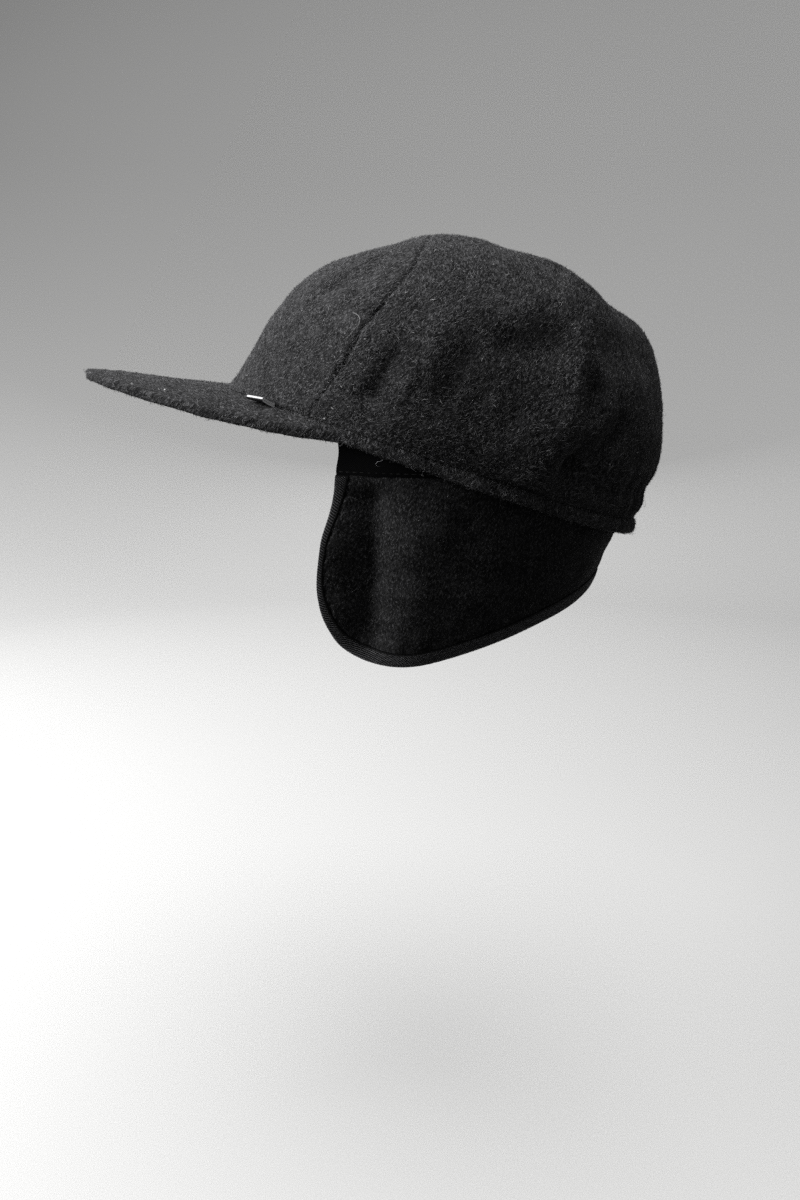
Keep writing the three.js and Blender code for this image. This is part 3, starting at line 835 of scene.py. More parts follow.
peakLook = {
    "halfTurn": 75.0,
    "tipY": -174.3,
    "wingY": -26.0,
    "halfWidth": 81.5,
    "squareness": 1.97,
    "tipLift": 1.0,
    "thickness": 4.6,
    "arch": 10.5,
    "archPower": 3.2,
    "tilt": 0.024,  # the left side is a little higher than the right one
    "crestHeight": 30.7,
    "rise": 0.1,
    "jointUp": 0.95,
    "jointOut": 0.95,
    "columns": 190,
    "rows": 46,
    "edgeRows": 16,
    "lowRows": 20,
    "edgeRadius": 2.25,
    "endSink": 3.2,  # the wings run out inside the hem
    "seamDepth": 0.55,  # the edge seam, half way through the thickness
    "seamWidth": 0.55,
    "droop": 0.7,  # how far the face dips at the joint
    "droopReach": 0.2,
    "threadDepth": 0.14,  # the seam along the edge
    "threadInset": 3.2,
    "waveSize": 24.0,
    "waveLift": 0.22,
}


def peakEdge(across):
    angle = across * 90 * degree
    wide = np.sign(angle) * np.abs(np.sin(angle)) ** (2 / peakLook["squareness"])
    deep = np.maximum(np.cos(angle), 0) ** (2 / peakLook["squareness"])
    return stack(peakLook["halfWidth"] * wide, mix(peakLook["wingY"], peakLook["tipY"], deep), 0)


def peakHeight(x, y):
    arch = peakLook["arch"] * np.abs(x / peakLook["halfWidth"]) ** peakLook["archPower"]
    tilt = peakLook["tilt"] * x * (1 - (x / peakLook["halfWidth"]) ** 4)
    return peakLook["crestHeight"] - peakLook["rise"] * (y - crown["frontY"]) - arch + tilt


def onPeak(point, joint, forward):  # height of the face, bent to meet the hem at the joint
    step = joint[..., 2] - peakHeight(joint[..., 0], joint[..., 1])
    return peakHeight(point[..., 0], point[..., 1]) + step * (1 - forward) ** 3


def peakPlace(across, forward, depth):
    turn = peakLook["halfTurn"] * across
    down = frontFoot["jointDown"] / hemLook["height"] * hump(turn, frontFoot["reach"])
    joint = hemPlace(turn, peakLook["jointUp"] - down, np.full_like(turn, peakLook["jointOut"]))
    point = mix(joint, peakEdge(across), forward[..., None])
    z = onPeak(point, joint, forward) - depth
    sink = peakLook["endSink"] * smooth((np.abs(across) - 0.86) / 0.14)
    return stack(point[..., 0], point[..., 1], z) - outwardAt(turn) * sink[..., None]


def makePeak():
    look = peakLook
    thickness, radius = look["thickness"], look["edgeRadius"]
    spread = np.linspace(1, -1, look["columns"] + 1)
    across = (np.sign(spread) * np.abs(spread) ** 0.92)[:, None]
    edge, joint = peakPlace(across, np.ones_like(across), 0), peakPlace(across, np.zeros_like(across), 0)
    deep = np.linalg.norm(edge - joint, axis=-1)
    # profile: over the top, round the edge and back below, as distance in from the edge and depth
    turnIn = np.linspace(0, math.pi, look["edgeRows"])[1:-1]
    size = np.minimum(radius, deep * 0.3)
    above = np.linspace(0, 1, look["rows"])[None, :] ** 0.94
    below = np.linspace(1, 0, look["lowRows"])[None, :]
    inwardEdge = size * (1 - np.sin(turnIn))[None, :]
    depthEdge = thickness / 2 * (1 - np.cos(turnIn))[None, :] + 0 * size
    inward = [deep * (1 - above) + size * above, inwardEdge, deep * (1 - below) + size * below]
    inward = np.concatenate(inward, axis=1)
    depth = np.concatenate([0 * above + 0 * deep, depthEdge, thickness + 0 * below + 0 * deep], axis=1)
    groove = look["seamDepth"] * hump(depth - thickness / 2, look["seamWidth"])
    groove = groove * smooth((0.8 - inward) / 0.6)
    inward = inward + groove * smooth((deep - 3) / 8)
    forward = np.clip(1 - inward / np.maximum(deep, 1e-3), 0, 1)
    forward[:, 0], forward[:, -1] = 0, 0
    droop = look["droop"] * np.clip(1 - forward / look["droopReach"], 0, 1) ** 1.5
    low = smooth((depth - 1.5) / 1.6)
    depth = depth + droop * (1 - low) - droop * low
    full = np.broadcast_to(across, forward.shape)
    place = peakPlace(full, forward, depth)
    calm = smooth(deep / 10) * smooth(forward / 0.06)
    waves = look["waveLift"] * (ripple(place, look["waveSize"], 31) + 0.35 * ripple(place, 7, 32)) * calm
    dimple = look["threadDepth"] * np.sin(np.cumsum(np.full(len(across), 0.9)))[:, None]
    dimple = dimple * hump(inward - look["threadInset"], 1.6) * calm
    tip = look["tipLift"] * smooth((forward - 0.72) / 0.28) * smooth((0.55 - np.abs(across)) / 0.4)
    place[..., 2] += waves + dimple + tip
    weave = stack(place[..., 0] + 300, place[..., 1] + depth, 0)
    piece = loopMesh("peak_cloth", place, wool, weave)
    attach(piece, "root")
    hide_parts("peak")
    return place


peakFace = makePeak()
print("peak made")


# Ear flap: the cloth hangs from a band inside the hem, and twill tape binds its edge

flapLook = {
    # height, half width, front half and back half of the oval that the flap lies on
    "sections": [
        (16, 78.8, 92.6, 89.8), (-4, 78.8, 92.6, 89.8), (-18, 78.7, 92.0, 89.5), (-32, 78.0, 90.5, 86.8),
        (-46, 76.5, 88.0, 81.0), (-60, 75.0, 85.0, 76.0), (-92, 70.0, 80.0, 69.0),
    ],
    # edge from the front corner to the middle of the back: turn, height, turn of the thread's top end
    "outline": [
        (67, -4.3, 76.5), (66.2, -13, 77.5), (64.6, -27, 79.3), (62.8, -41, 81), (61.4, -54, 83),
        (61.7, -65, 85), (63.9, -75, 87.5), (66.9, -81.5, 90), (73, -86, 94), (82, -88, 99),
        (92, -87.2, 106), (105, -83, 114), (120, -77, 125), (135, -71, 138), (150, -66.5, 152),
        (165, -62.5, 166), (180, -60.5, 180),
    ],
    "thickness": 2.6,
    "bandLow": -4.0,
    "bandHigh": 16.0,
    "bandFront": 67.5,
    "bandFrontTop": 68.8,
    "bandThickness": 1.2,
    "bandWave": 0.12,
    "bandLip": 0.35,
    "foldFade": 17.0,
    "bandFade": 10.0,
    "pullIn": 1.3,  # the band's lower edge is drawn in under the hem
    "meanRadius": 80.0,
    "gap": 0.05,
    "columns": 240,
    "rows": 40,
    "tapeGap": 0.15,
    "pinchLift": 0.25,  # small puckers beside the tape
    "pinchWidth": 3.0,
    "waveSize": 21.0,
    "waveLift": 0.34,
}
# folds by turn and height: from, to, width and lift in mm
flapFolds = {
    "front flare": (64, -34, 58, -76, 11.5, 4.6),
    "long valley": (77.5, -8, 76, -74, 9.5, -4.8),
    "valley crease": (78, -14, 76.5, -66, 3.6, -1.1),
    "long swell": (92, -14, 93, -80, 13, 1.8),
    "short valley": (104, -12, 104, -34, 9, -1.2),
    "low swell": (113, -40, 112, -58, 10, 1.6),
}
flapCreases = {
    "on the swell": (86, -26, 88, -60, 3.5, -0.4),
    "behind the swell": (97, -12, 99, -36, 4.0, 0.5),
    "near the back": (121, -14, 124, -44, 6.0, -0.7),
    "middle of the back": (150, -12, 156, -46, 8.0, 0.6),
}
flapSections = np.array(flapLook["sections"], float)
flapOutline = np.array(flapLook["outline"], float)
flapOval = curveThrough(flapSections[:, 1:])
flapStation = curveThrough(flapOutline)
flapLastRow = len(flapOutline) - 1


def flapSectionAt(height):
    rows = np.interp(-np.asarray(height, float), -flapSections[:, 0], np.arange(len(flapSections)))
    return flapOval(rows)


def flapLift(turn, height, fine):
    mirrored = np.where(turn > 180, 360 - turn, turn)
    perDegree = flapLook["meanRadius"] * degree
    belowHem = smooth((hemEdge(mirrored)[..., 2] - 3 - height) / flapLook["foldFade"])
    folds = [*flapFolds.values(), *(flapCreases.values() if fine else ())]
    lift = addFolds(0, folds, mirrored, height, perDegree, 1)
    below = flapLook["bandLow"] - height
    pulledIn = smooth((hemEdge(mirrored)[..., 2] - height) / 9) * smooth(1 - (below - 2) / 24)
    return lift * belowHem * smooth(below / flapLook["bandFade"]) - flapLook["pullIn"] * pulledIn


def flapPlace(turn, height, depth, fine=True):
    oval = flapSectionAt(height)
    middle, halfLength = (oval[..., 2] - oval[..., 1]) / 2, (oval[..., 2] + oval[..., 1]) / 2
    sine, cosine = np.sin(turn * degree), np.cos(turn * degree)
    outward = unit(stack(halfLength * sine, -oval[..., 0] * cosine, 0))
    base = stack(oval[..., 0] * sine, middle - halfLength * cosine, height)
    return base + outward * (flapLift(turn, height, fine) - depth)[..., None]


def flapThreads(row):  # ends of the threads that start at these rows of the outline
    right = row > flapLastRow
    station = flapStation(np.where(right, 2 * flapLastRow - row, row))
    turnFrom = np.where(right, 360 - station[..., 0], station[..., 0])
    turnTo = np.where(right, 360 - station[..., 2], station[..., 2])
    topHeight = flapLook["bandLow"] - flapLook["gap"]
    ends = (turnFrom, station[..., 1]), (turnTo, np.full_like(turnTo, topHeight))
    flat = [flapPlace(*end, np.zeros_like(turnTo), fine=False) for end in ends]
    return turnFrom, station[..., 1], turnTo, topHeight, np.linalg.norm(flat[1] - flat[0], axis=-1)


def alongThreads(row, inward, depth):
    turnFrom, low, turnTo, high, length = flapThreads(row)
    part = inward / length
    return flapPlace(mix(turnFrom, turnTo, part), mix(low, high, part), depth)


def evenRows(count):  # rows of the outline, the same distance apart along the edge
    fine = np.linspace(0, 2 * flapLastRow, 6000)
    edge = alongThreads(fine, np.zeros_like(fine), np.zeros_like(fine))
    along = lengthAlong(edge)
    return np.interp(np.linspace(0, along[-1], count), along, fine), along[-1]


tapeWidth = 7.0


def makeFlap():
    look = flapLook
    row = np.linspace(0, 2 * flapLastRow, look["columns"] + 1)[:, None]
    length = flapThreads(row)[4]
    start = tapeWidth + look["tapeGap"]
    inward = start + (length - start) * np.linspace(0, 1, look["rows"] + 1)[None, :]
    full = np.broadcast_to(row, inward.shape)
    zero = np.zeros_like(inward)
    base = alongThreads(full, inward, zero)
    fade = smooth((inward - start) / 4) * smooth((length - inward) / 8)
    waves = look["waveLift"] * (ripple(base, look["waveSize"], 51) + 0.3 * ripple(base, 7, 52)) * fade
    pinch = look["pinchLift"] * np.sin(row * 9.0) * hump(inward - start - 1.5, look["pinchWidth"])
    dip = 0.25 * hump(inward - start, 1.0) + 0.5 * hump(length - inward, 1.5)
    outer = alongThreads(full, inward, dip - waves - pinch)
    inner = alongThreads(full, inward, look["thickness"] - dip * 0.6 - waves * 0.6)
    turn = np.arctan2(base[..., 0], -base[..., 1]) / degree % 360
    weave = stack(turn * look["meanRadius"] * degree + 900, base[..., 2] + 200, 0)
    piece = clothMesh("ear_flap_cloth", outer, inner, flapWoolPaintedShade, weave)
    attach(piece, "root")
    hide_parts("ear_flap")
    return piece, outer, inner


flapCloth, flapOuter, flapInner = makeFlap()
print("ear flap made, one face", round(surfaceArea(flapOuter) / 1e6, 5), "square metres")


def makeBand():
    look = flapLook
    height = np.linspace(look["bandLow"] - 0.3, look["bandHigh"], 12)[None, :]
    front = mix(look["bandFront"], look["bandFrontTop"], smooth((height - look["bandLow"]) / 12))
    turn = mix(front, 360 - front, np.linspace(0, 1, 260)[:, None])
    full, tall = np.broadcast_arrays(turn, height)
    place = flapPlace(full, tall, np.zeros(full.shape))
    sag = look["bandWave"] * ripple(place, 14, 61) - look["bandLip"] * hump(tall - look["bandLow"], 0.8)
    outer = flapPlace(full, tall, -sag)
    inner = flapPlace(full, tall, look["bandThickness"] - sag)
    weave = stack(full * look["meanRadius"] * degree, tall, 0)
    piece = clothMesh("band_cloth", outer, inner, cotton, weave)
    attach(piece, "root")
    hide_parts("flap_band")


makeBand()
print("band made")


# Twill tape, folded over the edge and sewn down, with slanting ribs

tapeLook = {
    "columns": 400,
    "rows": 28,
    "halfThickness": 1.9,
    "ribPitch": 1.22,
    "ribProud": 0.2,
    "ribWide": 0.2,
    "ribSlant": 1.1,  # mm along the edge for each mm across the tape
    "ribShare": 0.62,  # share of the tape's breadth, from outside, that has ribs
}
tapeHalf = tapeLook["halfThickness"]
tapeFlat = tapeWidth - tapeHalf  # flat part of each side, then the bend round the edge
tapeBend = math.pi * tapeHalf
tapeBreadth = 2 * tapeFlat + tapeBend


def tapePath(across):  # from the sewn edge outside (0) round the bend: inward distance and depth
    angle = np.clip((across - tapeFlat) / tapeBend, 0, 1) * math.pi
    beyond = np.maximum(across - tapeFlat - tapeBend, 0)
    bent = tapeHalf * (1 - np.sin(angle)) + beyond
    inward = np.where(across < tapeFlat, tapeWidth - across, bent)
    depth = flapLook["thickness"] / 2 - tapeHalf * np.cos(angle)
    pinch = 0.25 * hump(inward - tapeWidth, 0.9) + 0.12 * hump(inward - 5.6, 0.5)
    return inward, depth + pinch * np.where(across < tapeFlat + tapeBend / 2, 1, -1)


def makeTape():
    rows, edgeLength = evenRows(tapeLook["columns"] + 1)
    across = np.linspace(0, tapeBreadth, tapeLook["rows"])[None, :]
    row = np.broadcast_to(rows[:, None], (len(rows), across.shape[1]))
    inward, depth = tapePath(across)
    inward, depth = np.broadcast_to(inward, row.shape), np.broadcast_to(depth, row.shape)
    outer = alongThreads(row, inward, depth)
    middle = flapLook["thickness"] / 2
    hollow = inward + 0.55 * smooth((3.2 - inward) / 2)
    inner = alongThreads(row, hollow, middle + (depth - middle) * 0.68)
    along = np.linspace(0, edgeLength, len(rows))[:, None]
    weave = stack(along, across, 0)
    piece = clothMesh("binding_tape", outer, inner, tape, weave)
    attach(piece, "root")
    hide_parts("flap_binding")
    return rows, edgeLength


tapeRows, tapeLength = makeTape()


def makeRibs():
    look = tapeLook
    evenly = np.linspace(0, tapeLength, len(tapeRows))
    profile = np.array([(-1, -0.35), (-0.5, 0.7), (0.5, 0.7), (1, -0.35)])
    slant = look["ribSlant"] * (tapeWidth + 1)
    starts = np.arange(-slant + 0.4, tapeLength - 0.4, look["ribPitch"])
    points, faces, weaves = [], [], []
    draw = np.random.default_rng(71)
    used = 0
    for start in starts:
        across = np.linspace(0.35, tapeBreadth * look["ribShare"], 15)
        along = start + slant - look["ribSlant"] * across + draw.normal(0, 0.03)
        inside = (along > 0.15) & (along < tapeLength - 0.15)
        if inside.sum() < 3:
            continue
        across, along = across[inside], along[inside]
        ends = np.minimum(across - across[0], across[-1] - across)
        size = smooth(ends / 0.7 + 0.12)
        around = along[:, None] + profile[None, :, 0] * look["ribWide"] * size[:, None]
        row = np.interp(around, evenly, tapeRows)
        inward, depth = tapePath(across)
        rise = look["ribProud"] * profile[None, :, 1] * size[:, None] * draw.uniform(0.75, 1.2)
        outwardShare = np.cos(np.clip((across - tapeFlat) / tapeBend, 0, 1) * math.pi)
        edgeShare = np.sqrt(np.maximum(1 - outwardShare**2, 0))
        inwardNow = inward[:, None] - rise * edgeShare[:, None]
        block = alongThreads(row, inwardNow, depth[:, None] - rise * outwardShare[:, None])
        points.append(block.reshape(-1, 3))
        faces.append(gridFaces(len(across), 4, wrapRows=True)[:, ::-1] + used)
        caps = np.array([[3, 2, 1, 0], [0, 1, 2, 3]]) + np.array([[0], [4 * (len(across) - 1)]])
        faces.append(caps + used)
        weave = stack(along[:, None] + profile[None, :, 0], across[:, None] * 3, 5.0)
        weaves.append(weave.reshape(-1, 3))
        used += 4 * len(across)
    points, faces, weaves = (np.concatenate(part) for part in (points, faces, weaves))
    # the ribs' light grey finish is painted highlight
    piece = makeMesh("binding_ribs", points, faces, tapeRibHighlight, weaves)
    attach(piece, "root")
    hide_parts("flap_binding")


makeRibs()


def makeSeamLines():
    look = stitchLook["band"]
    turn = np.linspace(flapLook["bandFront"] + 0.6, 359.4 - flapLook["bandFront"], 500)
    height = np.full_like(turn, flapLook["bandLow"] + look["height"])
    place = flapPlace(turn, height, 0.0 * turn)
    outward = unit(place - flapPlace(turn, height, 1 + 0.0 * turn))
    makeStitches("band_stitches", place, outward, look)
    look = stitchLook["tape"]
    evenly = np.linspace(0, tapeLength, len(tapeRows))
    rows = np.interp(np.linspace(1, tapeLength - 1, 900), evenly, tapeRows)
    inward, depth = tapePath(np.full_like(rows, tapeWidth - look["inward"]))
    place = alongThreads(rows, inward, depth - tapeLook["ribProud"] * 0.7)
    outward = unit(place - alongThreads(rows, inward, depth + 1))
    makeStitches("tape_stitches", place, outward, look)


makeSeamLines()
print("tape made,", round(tapeLength), "mm long")


# Folded ribbon tab, sewn into the seam between crown and peak

tabLook = {
    "turn": 47.0,
    "width": 9.7,
    "reach": 6.2,
    "thickness": 0.85,
    "fold": 0.5,  # radius of the fold
    "setBack": 0.2,
    "lift": 0.4,
    "opening": 2.5,  # how far the folded end stands up
    "openingTilt": 0.95,
    "peakDepth": 42.0,
    "columns": 34,
}


def tabPlace(along, out, rise):  # along -1 to 1 across the ribbon, out from the seam in mm
    look = tabLook
    halfTurn = look["width"] / 2 / (crown["halfWidth"] * degree)
    turn = look["turn"] - along * halfTurn
    zero = np.zeros_like(turn)
    joint = peakPlace(turn / peakLook["halfTurn"], zero, zero)
    forward = out / look["peakDepth"]
    place = joint + outwardAt(turn) * out[..., None]
    droop = peakLook["droop"] * np.clip(1 - forward / peakLook["droopReach"], 0, 1)
    place[..., 2] = onPeak(place, joint, np.clip(forward, 0, 1)) - droop + rise
    return place


def makeTab():
    look = tabLook
    along = np.linspace(-1, 1, look["columns"] + 1)[:, None]
    reach, fold, half = look["reach"], look["fold"], look["thickness"] / 2
    # the ribbon's middle line: out on the lower layer, round the fold and back on the upper one
    angle = np.linspace(-math.pi / 2, math.pi / 2, 9)
    flat = np.linspace(0, reach - fold, 10)
    bendOut, bendRise = reach - fold + fold * np.cos(angle)[1:-1], fold * (1 + np.sin(angle))[1:-1]
    outLine = np.concatenate([flat, bendOut, np.linspace(reach - fold, 0, 10)])
    riseLine = np.concatenate([0 * flat, bendRise, np.full(10, 2 * fold)])
    step = np.gradient(np.stack([outLine, riseLine], axis=-1), axis=0)
    step = step / np.linalg.norm(step, axis=1, keepdims=True)
    across = np.stack([step[:, 1], -step[:, 0]], axis=-1)
    opening = look["opening"] - look["openingTilt"] * along
    lift = look["lift"] + opening * (outLine / reach) ** 1.3
    faces = []
    for side in (1, -1):
        out = outLine + side * half * across[:, 0] + 0 * along + look["setBack"]
        rise = riseLine + side * half * across[:, 1] + lift
        faces.append(tabPlace(along + 0 * out, out, rise))
    # marks the top of the fold for the pale paint, which is partly painted highlight where the light
    # falls
    paleEdgeWithHighlight = np.where((outLine > reach - fold * 1.15) & (riseLine > fold * 1.05), 1.0, 0.0)
    weave = stack(along * look["width"] / 2, paleEdgeWithHighlight, 0)
    piece = clothMesh("ribbon_fold", faces[0], faces[1], ribbon, weave)
    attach(piece, "root")
    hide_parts("ribbon_tab")


makeTab()
print("ribbon tab made")


# Wool pile: short fibres felted into the face, each a slim closed spindle of four triangles

pileShape = {
    "lying": {"rise": (6.0, 20.0), "length": (1.3, 2.9), "width": (0.15, 0.25)},
    "standing": {"rise": (20.0, 62.0), "length": (0.9, 1.9), "width": (0.10, 0.17)},
    "standingShare": 0.10,
    "scatter": 38.0,  # degrees
    "swirl": 34,
    "swirlSize": 6.0,
    "clumpSize": 2.6,  # mm between lighter and darker tufts
    "clumpTone": 0.16,
    "root": 0.06,  # how deep the root end sits
    "behind": 0.3,  # share of the length that lies behind the place
    "bellyAt": 0.42,
    "bellyRise": 0.3,
}
# fibres for each square mm, their seed, and their lean in degrees from straight up the cloth
pileCover = {
    "panel": {"density": 1.25, "seed": 100, "lean": 20.0},
    "hem": {"density": 1.5, "seed": 111, "lean": 20.0},
    "peak": {"density": 1.15, "seed": 112, "lean": 15.0},
    "flap": {"density": 1.15, "seed": 113, "lean": 20.0},
    "flapInside": {"density": 0.2, "seed": 114, "lean": 20.0},
    "seam": {"density": 0.7, "seed": 120, "lean": 80.0},
}


def spreadOver(grid, count, draw, weights=None):  # places, two directions and normals, evenly by area
    a, b, c, d = cellCorners(grid)
    normal = np.cross(c - a, d - b)
    area = np.linalg.norm(normal, axis=-1)
    chance = (area if weights is None else area * weights).ravel()
    cell = np.searchsorted(np.cumsum(chance), draw.uniform(0, chance.sum(), count))
    cell = np.minimum(cell, chance.size - 1)
    u, v = draw.uniform(size=(2, count, 1))
    a, b, c, d = (corner.reshape(-1, 3)[cell] for corner in (a, b, c, d))
    place = mix(mix(a, b, u), mix(d, c, u), v)
    normal = unit(normal.reshape(-1, 3)[cell])
    up = unit(mix(d - a, c - b, u))
    return place, up, unit(np.cross(up, normal)), normal


def makePile(name, nodes, grid, material, cover, number=0, weights=None):
    seed = cover["seed"] + number
    draw = np.random.default_rng(seed)
    look = pileShape
    count = int(surfaceArea(grid) * cover["density"] * (1 if weights is None else weights.mean()))
    place, up, right, normal = spreadOver(grid, count, draw, weights)
    stands = draw.uniform(size=(count, 1)) < look["standingShare"]
    swirl = look["swirl"] * ripple(place, look["swirlSize"], seed + 700)[:, None]
    angle = (draw.normal(cover["lean"], look["scatter"], (count, 1)) + swirl) * degree
    angle = np.where(stands, draw.uniform(-math.pi, math.pi, (count, 1)), angle)

    def drawn(key):
        ways = [draw.uniform(*look[way][key], (count, 1)) for way in ("standing", "lying")]
        return np.where(stands, *ways)

    rise, length, width = drawn("rise"), drawn("length"), drawn("width")
    along = up * np.cos(angle) + right * np.sin(angle)
    heading = along * np.cos(rise * degree) + normal * np.sin(rise * degree)
    aside = unit(np.cross(heading, normal))
    start = place - normal * look["root"] - along * length * look["behind"]
    tip = start + heading * length
    belly = mix(start, tip, look["bellyAt"]) - unit(np.cross(aside, heading)) * width * look["bellyRise"]
    points = [start, belly - aside * width / 2, tip, belly + aside * width / 2]
    points = np.stack(points, axis=1).reshape(-1, 3)
    corners = np.array([(0, 1, 2), (0, 2, 3), (1, 3, 2), (0, 3, 1)])
    faces = (corners[None] + 4 * np.arange(count)[:, None, None]).reshape(-1, 3)
    clump = ripple(place, look["clumpSize"], seed + 500, waves=14)
    tone = np.repeat(np.clip(draw.beta(1.2, 3.0, count) + look["clumpTone"] * clump, 0, 1), 4)
    piece = makeMesh(name, points, faces, material, tone=tone, flat=True)
    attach(piece, "root")
    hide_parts(*nodes)
    return count


hairLook = {
    "length": (2.6, 7.0),
    "width": (0.09, 0.15),
    "rings": 9,
    "arch": (0.10, 0.75),  # how high the middle stands off the face
    "bend": 0.42,  # radians of turning for each mm
    "wiggle": 0.9,
    "root": 0.10,
}
hairCover = {
    "panel": {"count": 150, "seed": 140},
    "hem": {"count": 260, "seed": 150},
    "peak": {"count": 330, "seed": 151},
    "flap": {"count": 120, "seed": 152},
}


def makeHairs(name, nodes, grid, material, cover, number=0):  # long curly hairs that lie on the face
    count = cover["count"]
    draw = np.random.default_rng(cover["seed"] + number)
    look = hairLook
    place, up, right, normal = spreadOver(grid, count, draw)
    rings = look["rings"]
    part = np.linspace(0, 1, rings)[None, :]
    length = mix(*look["length"], draw.uniform(size=(count, 1)) ** 1.8)
    bend = draw.normal(0, look["bend"], (count, 1)) * length
    beat = part * draw.uniform(3, 9, (count, 1)) + draw.uniform(0, 2 * math.pi, (count, 1))
    wiggle = look["wiggle"] * np.sin(beat)
    angle = draw.uniform(-math.pi, math.pi, (count, 1)) + bend * part + wiggle
    step = length / (rings - 1)
    along = np.cumsum(np.cos(angle) * step, axis=1) - step
    aside = np.cumsum(np.sin(angle) * step, axis=1) - step
    height = draw.uniform(*look["arch"], (count, 1)) * np.sin(part * math.pi) ** 0.8 - look["root"]
    line = place[:, None]
    for way, far in ((up, along), (right, aside), (normal, height)):
        line = line + way[:, None] * far[..., None]
    forward = unit(np.gradient(line, axis=1))
    across = unit(np.cross(forward, normal[:, None]))
    over = np.cross(across, forward)
    taper = 0.35 + 0.65 * np.sin(part * math.pi) ** 0.6
    width = draw.uniform(*look["width"], (count, 1)) / 2 * taper
    points = tubePoints(line, across, over, width, 3).reshape(-1, 3)
    faces = (tubeFaces(rings, 3)[None] + 3 * rings * np.arange(count)[:, None, None]).reshape(-1, 3)
    tone = np.repeat(draw.uniform(0.3, 0.85, count), 3 * rings)
    piece = makeMesh(name, points, faces, material, tone=tone, flat=True)
    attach(piece, "root")
    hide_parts(*nodes)
    return count


# a pale hair that lies on the left side: turn and level of the points along it
paleHair = {
    "route": [
        (63, 3.1), (65, 3.05), (66.2, 2.95), (66.5, 2.82), (65.8, 2.67), (65.2, 2.53), (64.2, 2.43),
    ],
    "above": 0.62,
    "width": 0.19,
    "tone": 0.96,
}
# a speck of lint on the peak
lint = {
    "x": 59.5,
    "y": -113.7,
    "above": 0.15,
    "curl": 0.25,
    "turns": 1.3,
    "rise": 0.9,
    "width": 0.95,
    "tone": 1.0,
}


def makePaleHairs():
    steps = 28
    turn, level = curveThrough(paleHair["route"])(np.linspace(0, len(paleHair["route"]) - 1, steps)).T
    hairLine = crownPlace(turn, level, -paleHair["above"], crownLift(turn, level))
    angle = np.linspace(0, lint["turns"] * 2 * math.pi, steps)
    x, y = lint["x"] + lint["curl"] * np.cos(angle), lint["y"] + lint["curl"] * np.sin(angle)
    z = peakHeight(x, y) + lint["above"] + lint["rise"] * angle / angle[-1]
    upright = stack(0 * x, 0 * x, 1 + 0 * x)
    lines = (hairLine, crownNormal(turn, level), paleHair), (stack(x, y, z), upright, lint)
    sides = 5
    points, faces, tones = [], [], []
    for number, (line, normal, look) in enumerate(lines):
        forward = unit(np.gradient(line, axis=0))
        across = unit(np.cross(forward, normal))
        over = np.cross(across, forward)
        size = look["width"] / 2 * (0.4 + 0.6 * np.sin(np.linspace(0, math.pi, steps)) ** 0.5)
        points.append(tubePoints(line, across, over, size, sides).reshape(-1, 3))
        faces.append(tubeFaces(steps, sides) + number * steps * sides)
        tones.append(np.full(steps * sides, look["tone"]))
    points, faces, tones = (np.concatenate(part) for part in (points, faces, tones))
    piece = makeMesh("pale_hairs", points, faces, pile, tone=tones, flat=True)
    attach(piece, "root")
    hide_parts("panel_front_left", "panel_side_left", "peak")


makePaleHairs()


# painted shade: fewer pale fibres below the band, where the hem's shadow falls, and in the flap's front
# valley
def flapFuzzThinnedForShade(grid):  # fibres are thin on the ground below the band and in the front valley
    x, y, z = np.moveaxis(grid[:-1, :-1], -1, 0)
    turn = np.abs(np.arctan2(x, -y)) / degree
    return mix(0.25, 1, smooth((-6 - z) / 26)) * mix(0.4, 1, smooth((turn - 74) / 7))


def seamStrip(number, reach=1.5):  # narrow strip of the crown along a seam
    level = np.linspace(0.15, 6.85, 120)[None, :]
    away = np.linspace(-reach, reach, 5)[:, None] / (crownRadius(level) * degree)
    turn = seamTurn(seams[number], level) + away
    level = np.broadcast_to(level, turn.shape)
    return crownPlace(turn, level, 0.1, crownLift(turn, level))


def coverWithWool():
    fibres, hairs = 0, 0
    names, flapFace = panelLook["names"], flapOuter[:, ::-1]
    for number, grid in enumerate(panelFaces):
        name = names[number]
        fibres += makePile("pile_" + name, ["panel_" + name], grid, pile, pileCover["panel"], number)
    fibres += makePile("pile_hem", ["crown_hem"], hemFace, pile, pileCover["hem"])
    fibres += makePile("pile_peak", ["peak"], peakFace, pile, pileCover["peak"])
    # the flap's pile is thinned as painted shade
    fuzzThinnedForShade = flapFuzzThinnedForShade(flapFace)
    fibres += makePile("pile_flap", ["ear_flap"], flapFace, flapPilePaintedShade, pileCover["flap"], weights=fuzzThinnedForShade)
    fibres += makePile("pile_flap_inside", ["ear_flap"], flapInner, flapPilePaintedShade, pileCover["flapInside"])
    for number in range(6):  # hairs that cross the seams
        sides = ["panel_" + names[number - 1], "panel_" + names[number]]
        strip = seamStrip(number)
        fibres += makePile(f"pile_seam_{number}", sides, strip, pile, pileCover["seam"], number)
    for number, grid in enumerate(panelFaces):
        name = names[number]
        hairs += makeHairs("hairs_" + name, ["panel_" + name], grid, pile, hairCover["panel"], number)
    hairs += makeHairs("hairs_hem", ["crown_hem"], hemFace, pile, hairCover["hem"])
    hairs += makeHairs("hairs_peak", ["peak"], peakFace, pile, hairCover["peak"])
    hairs += makeHairs("hairs_flap", ["ear_flap"], flapFace, flapPilePaintedShade, hairCover["flap"])
    return fibres, hairs


fibres, hairs = coverWithWool()
print("pile made:", fibres, "fibres and", hairs, "long hairs")


# Triangles in each piece made here

triangles = {piece.name: sum(len(face.vertices) - 2 for face in piece.data.polygons)
             for piece in bpy.data.objects if piece.type == "MESH" and "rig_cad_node" not in piece}
print("triangles:", sum(triangles.values()), triangles)


# Floor and backdrop in one sweep

stageLook = {
    "floorHeight": -360.0,
    "radius": 2100.0,
    "bend": 900.0,
    "wallTop": 2600.0,
    "colour": (0.56, 0.56, 0.555),
}


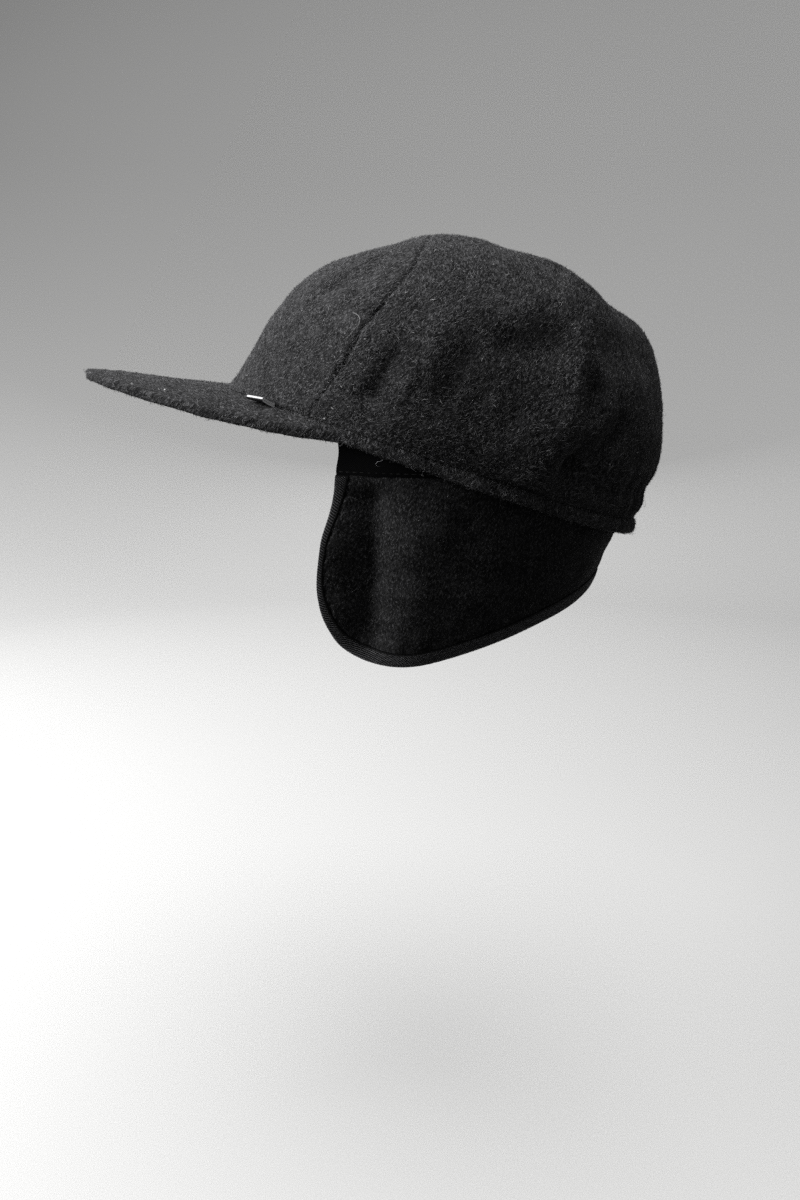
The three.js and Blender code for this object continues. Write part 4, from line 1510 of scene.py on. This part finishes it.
def paperFinish():
    finish = Finish("backdrop paper")
    place = finish.add("TexCoord", {}, {}, out=3)
    mottle = finish.noise(place, 3.0, 2.0, 0.5)
    base = finish.blend(mottle, stageLook["colour"], shaded(stageLook["colour"], 1.02))
    wires = {"Base Color": base, "Roughness": 0.9 + mottle * 0.05}
    return finish.close({"Specular IOR Level": 0.1}, wires)


def makeStage():  # a round floor that bends up into a round wall
    look = stageLook
    bend = np.linspace(0, math.pi / 2, 24)
    inner, floor = look["radius"] - look["bend"], look["floorHeight"]
    bentOut, bentUp = inner + look["bend"] * np.sin(bend), floor + look["bend"] * (1 - np.cos(bend))
    radius = np.concatenate([[inner * 0.1, inner * 0.5], bentOut, [look["radius"]]])
    z = np.concatenate([[floor, floor], bentUp, [look["wallTop"]]])
    turn = np.linspace(0, 2 * math.pi, 96, endpoint=False)[:, None]
    grid = stack(radius * np.cos(turn), radius * np.sin(turn), z + 0 * turn)
    middle = np.arange(len(turn)) * len(radius)
    faces = [gridFaces(len(turn), len(radius), wrapColumns=True)[:, ::-1], middle[None]]
    backdrop = makeMesh("backdrop", grid.reshape(-1, 3), faces, paperFinish())
    backdrop.visible_diffuse = False  # no light bounces back from it, as in a dark studio
    backdrop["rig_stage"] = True


makeStage()


# Lights

lightLook = {
    "key": {"place": (0.16, -1.36, 0.70), "size": 1.2, "power": 50.0},
    "top": {"place": (0.15, -0.05, 1.70), "size": 1.3, "power": 21.5},
    "side": {"place": (1.45, -0.20, 0.60), "size": 1.4, "power": 2.4},
    "right": {"place": (-1.45, -0.10, 0.55), "size": 1.4, "power": 5.0},
    "back": {"place": (-1.10, 1.25, 0.60), "size": 1.3, "power": 2.5},
    "world": 0.03,
}


def makeLight(name, look, aim=(0.0, -0.01, 0.01)):
    data = bpy.data.lights.new(name, "AREA")
    data.shape = "DISK"
    data.size = look["size"]
    data.energy = look["power"]
    light = bpy.data.objects.new(name, data)
    light.location = look["place"]
    heading = Vector(aim) - Vector(look["place"])
    light.rotation_euler = heading.to_track_quat("-Z", "Y").to_euler()
    light.visible_camera = False
    bpy.context.scene.collection.objects.link(light)


for name in ("key", "top", "side", "right", "back"):
    makeLight(name, lightLook[name])

world = bpy.data.worlds.new("studio")
world.use_nodes = True
world.node_tree.nodes["Background"].inputs["Color"].default_value = (1, 1, 1, 1)
world.node_tree.nodes["Background"].inputs["Strength"].default_value = lightLook["world"]
bpy.context.scene.world = world
bpy.context.scene.view_settings.view_transform = "Standard"
bpy.context.scene.cycles.use_denoising = False  # a denoiser wipes out the fibres
print("stage and lights made")

plain = [[[float(value) for value in corner] for corner in box] for box in (cadBox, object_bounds())]
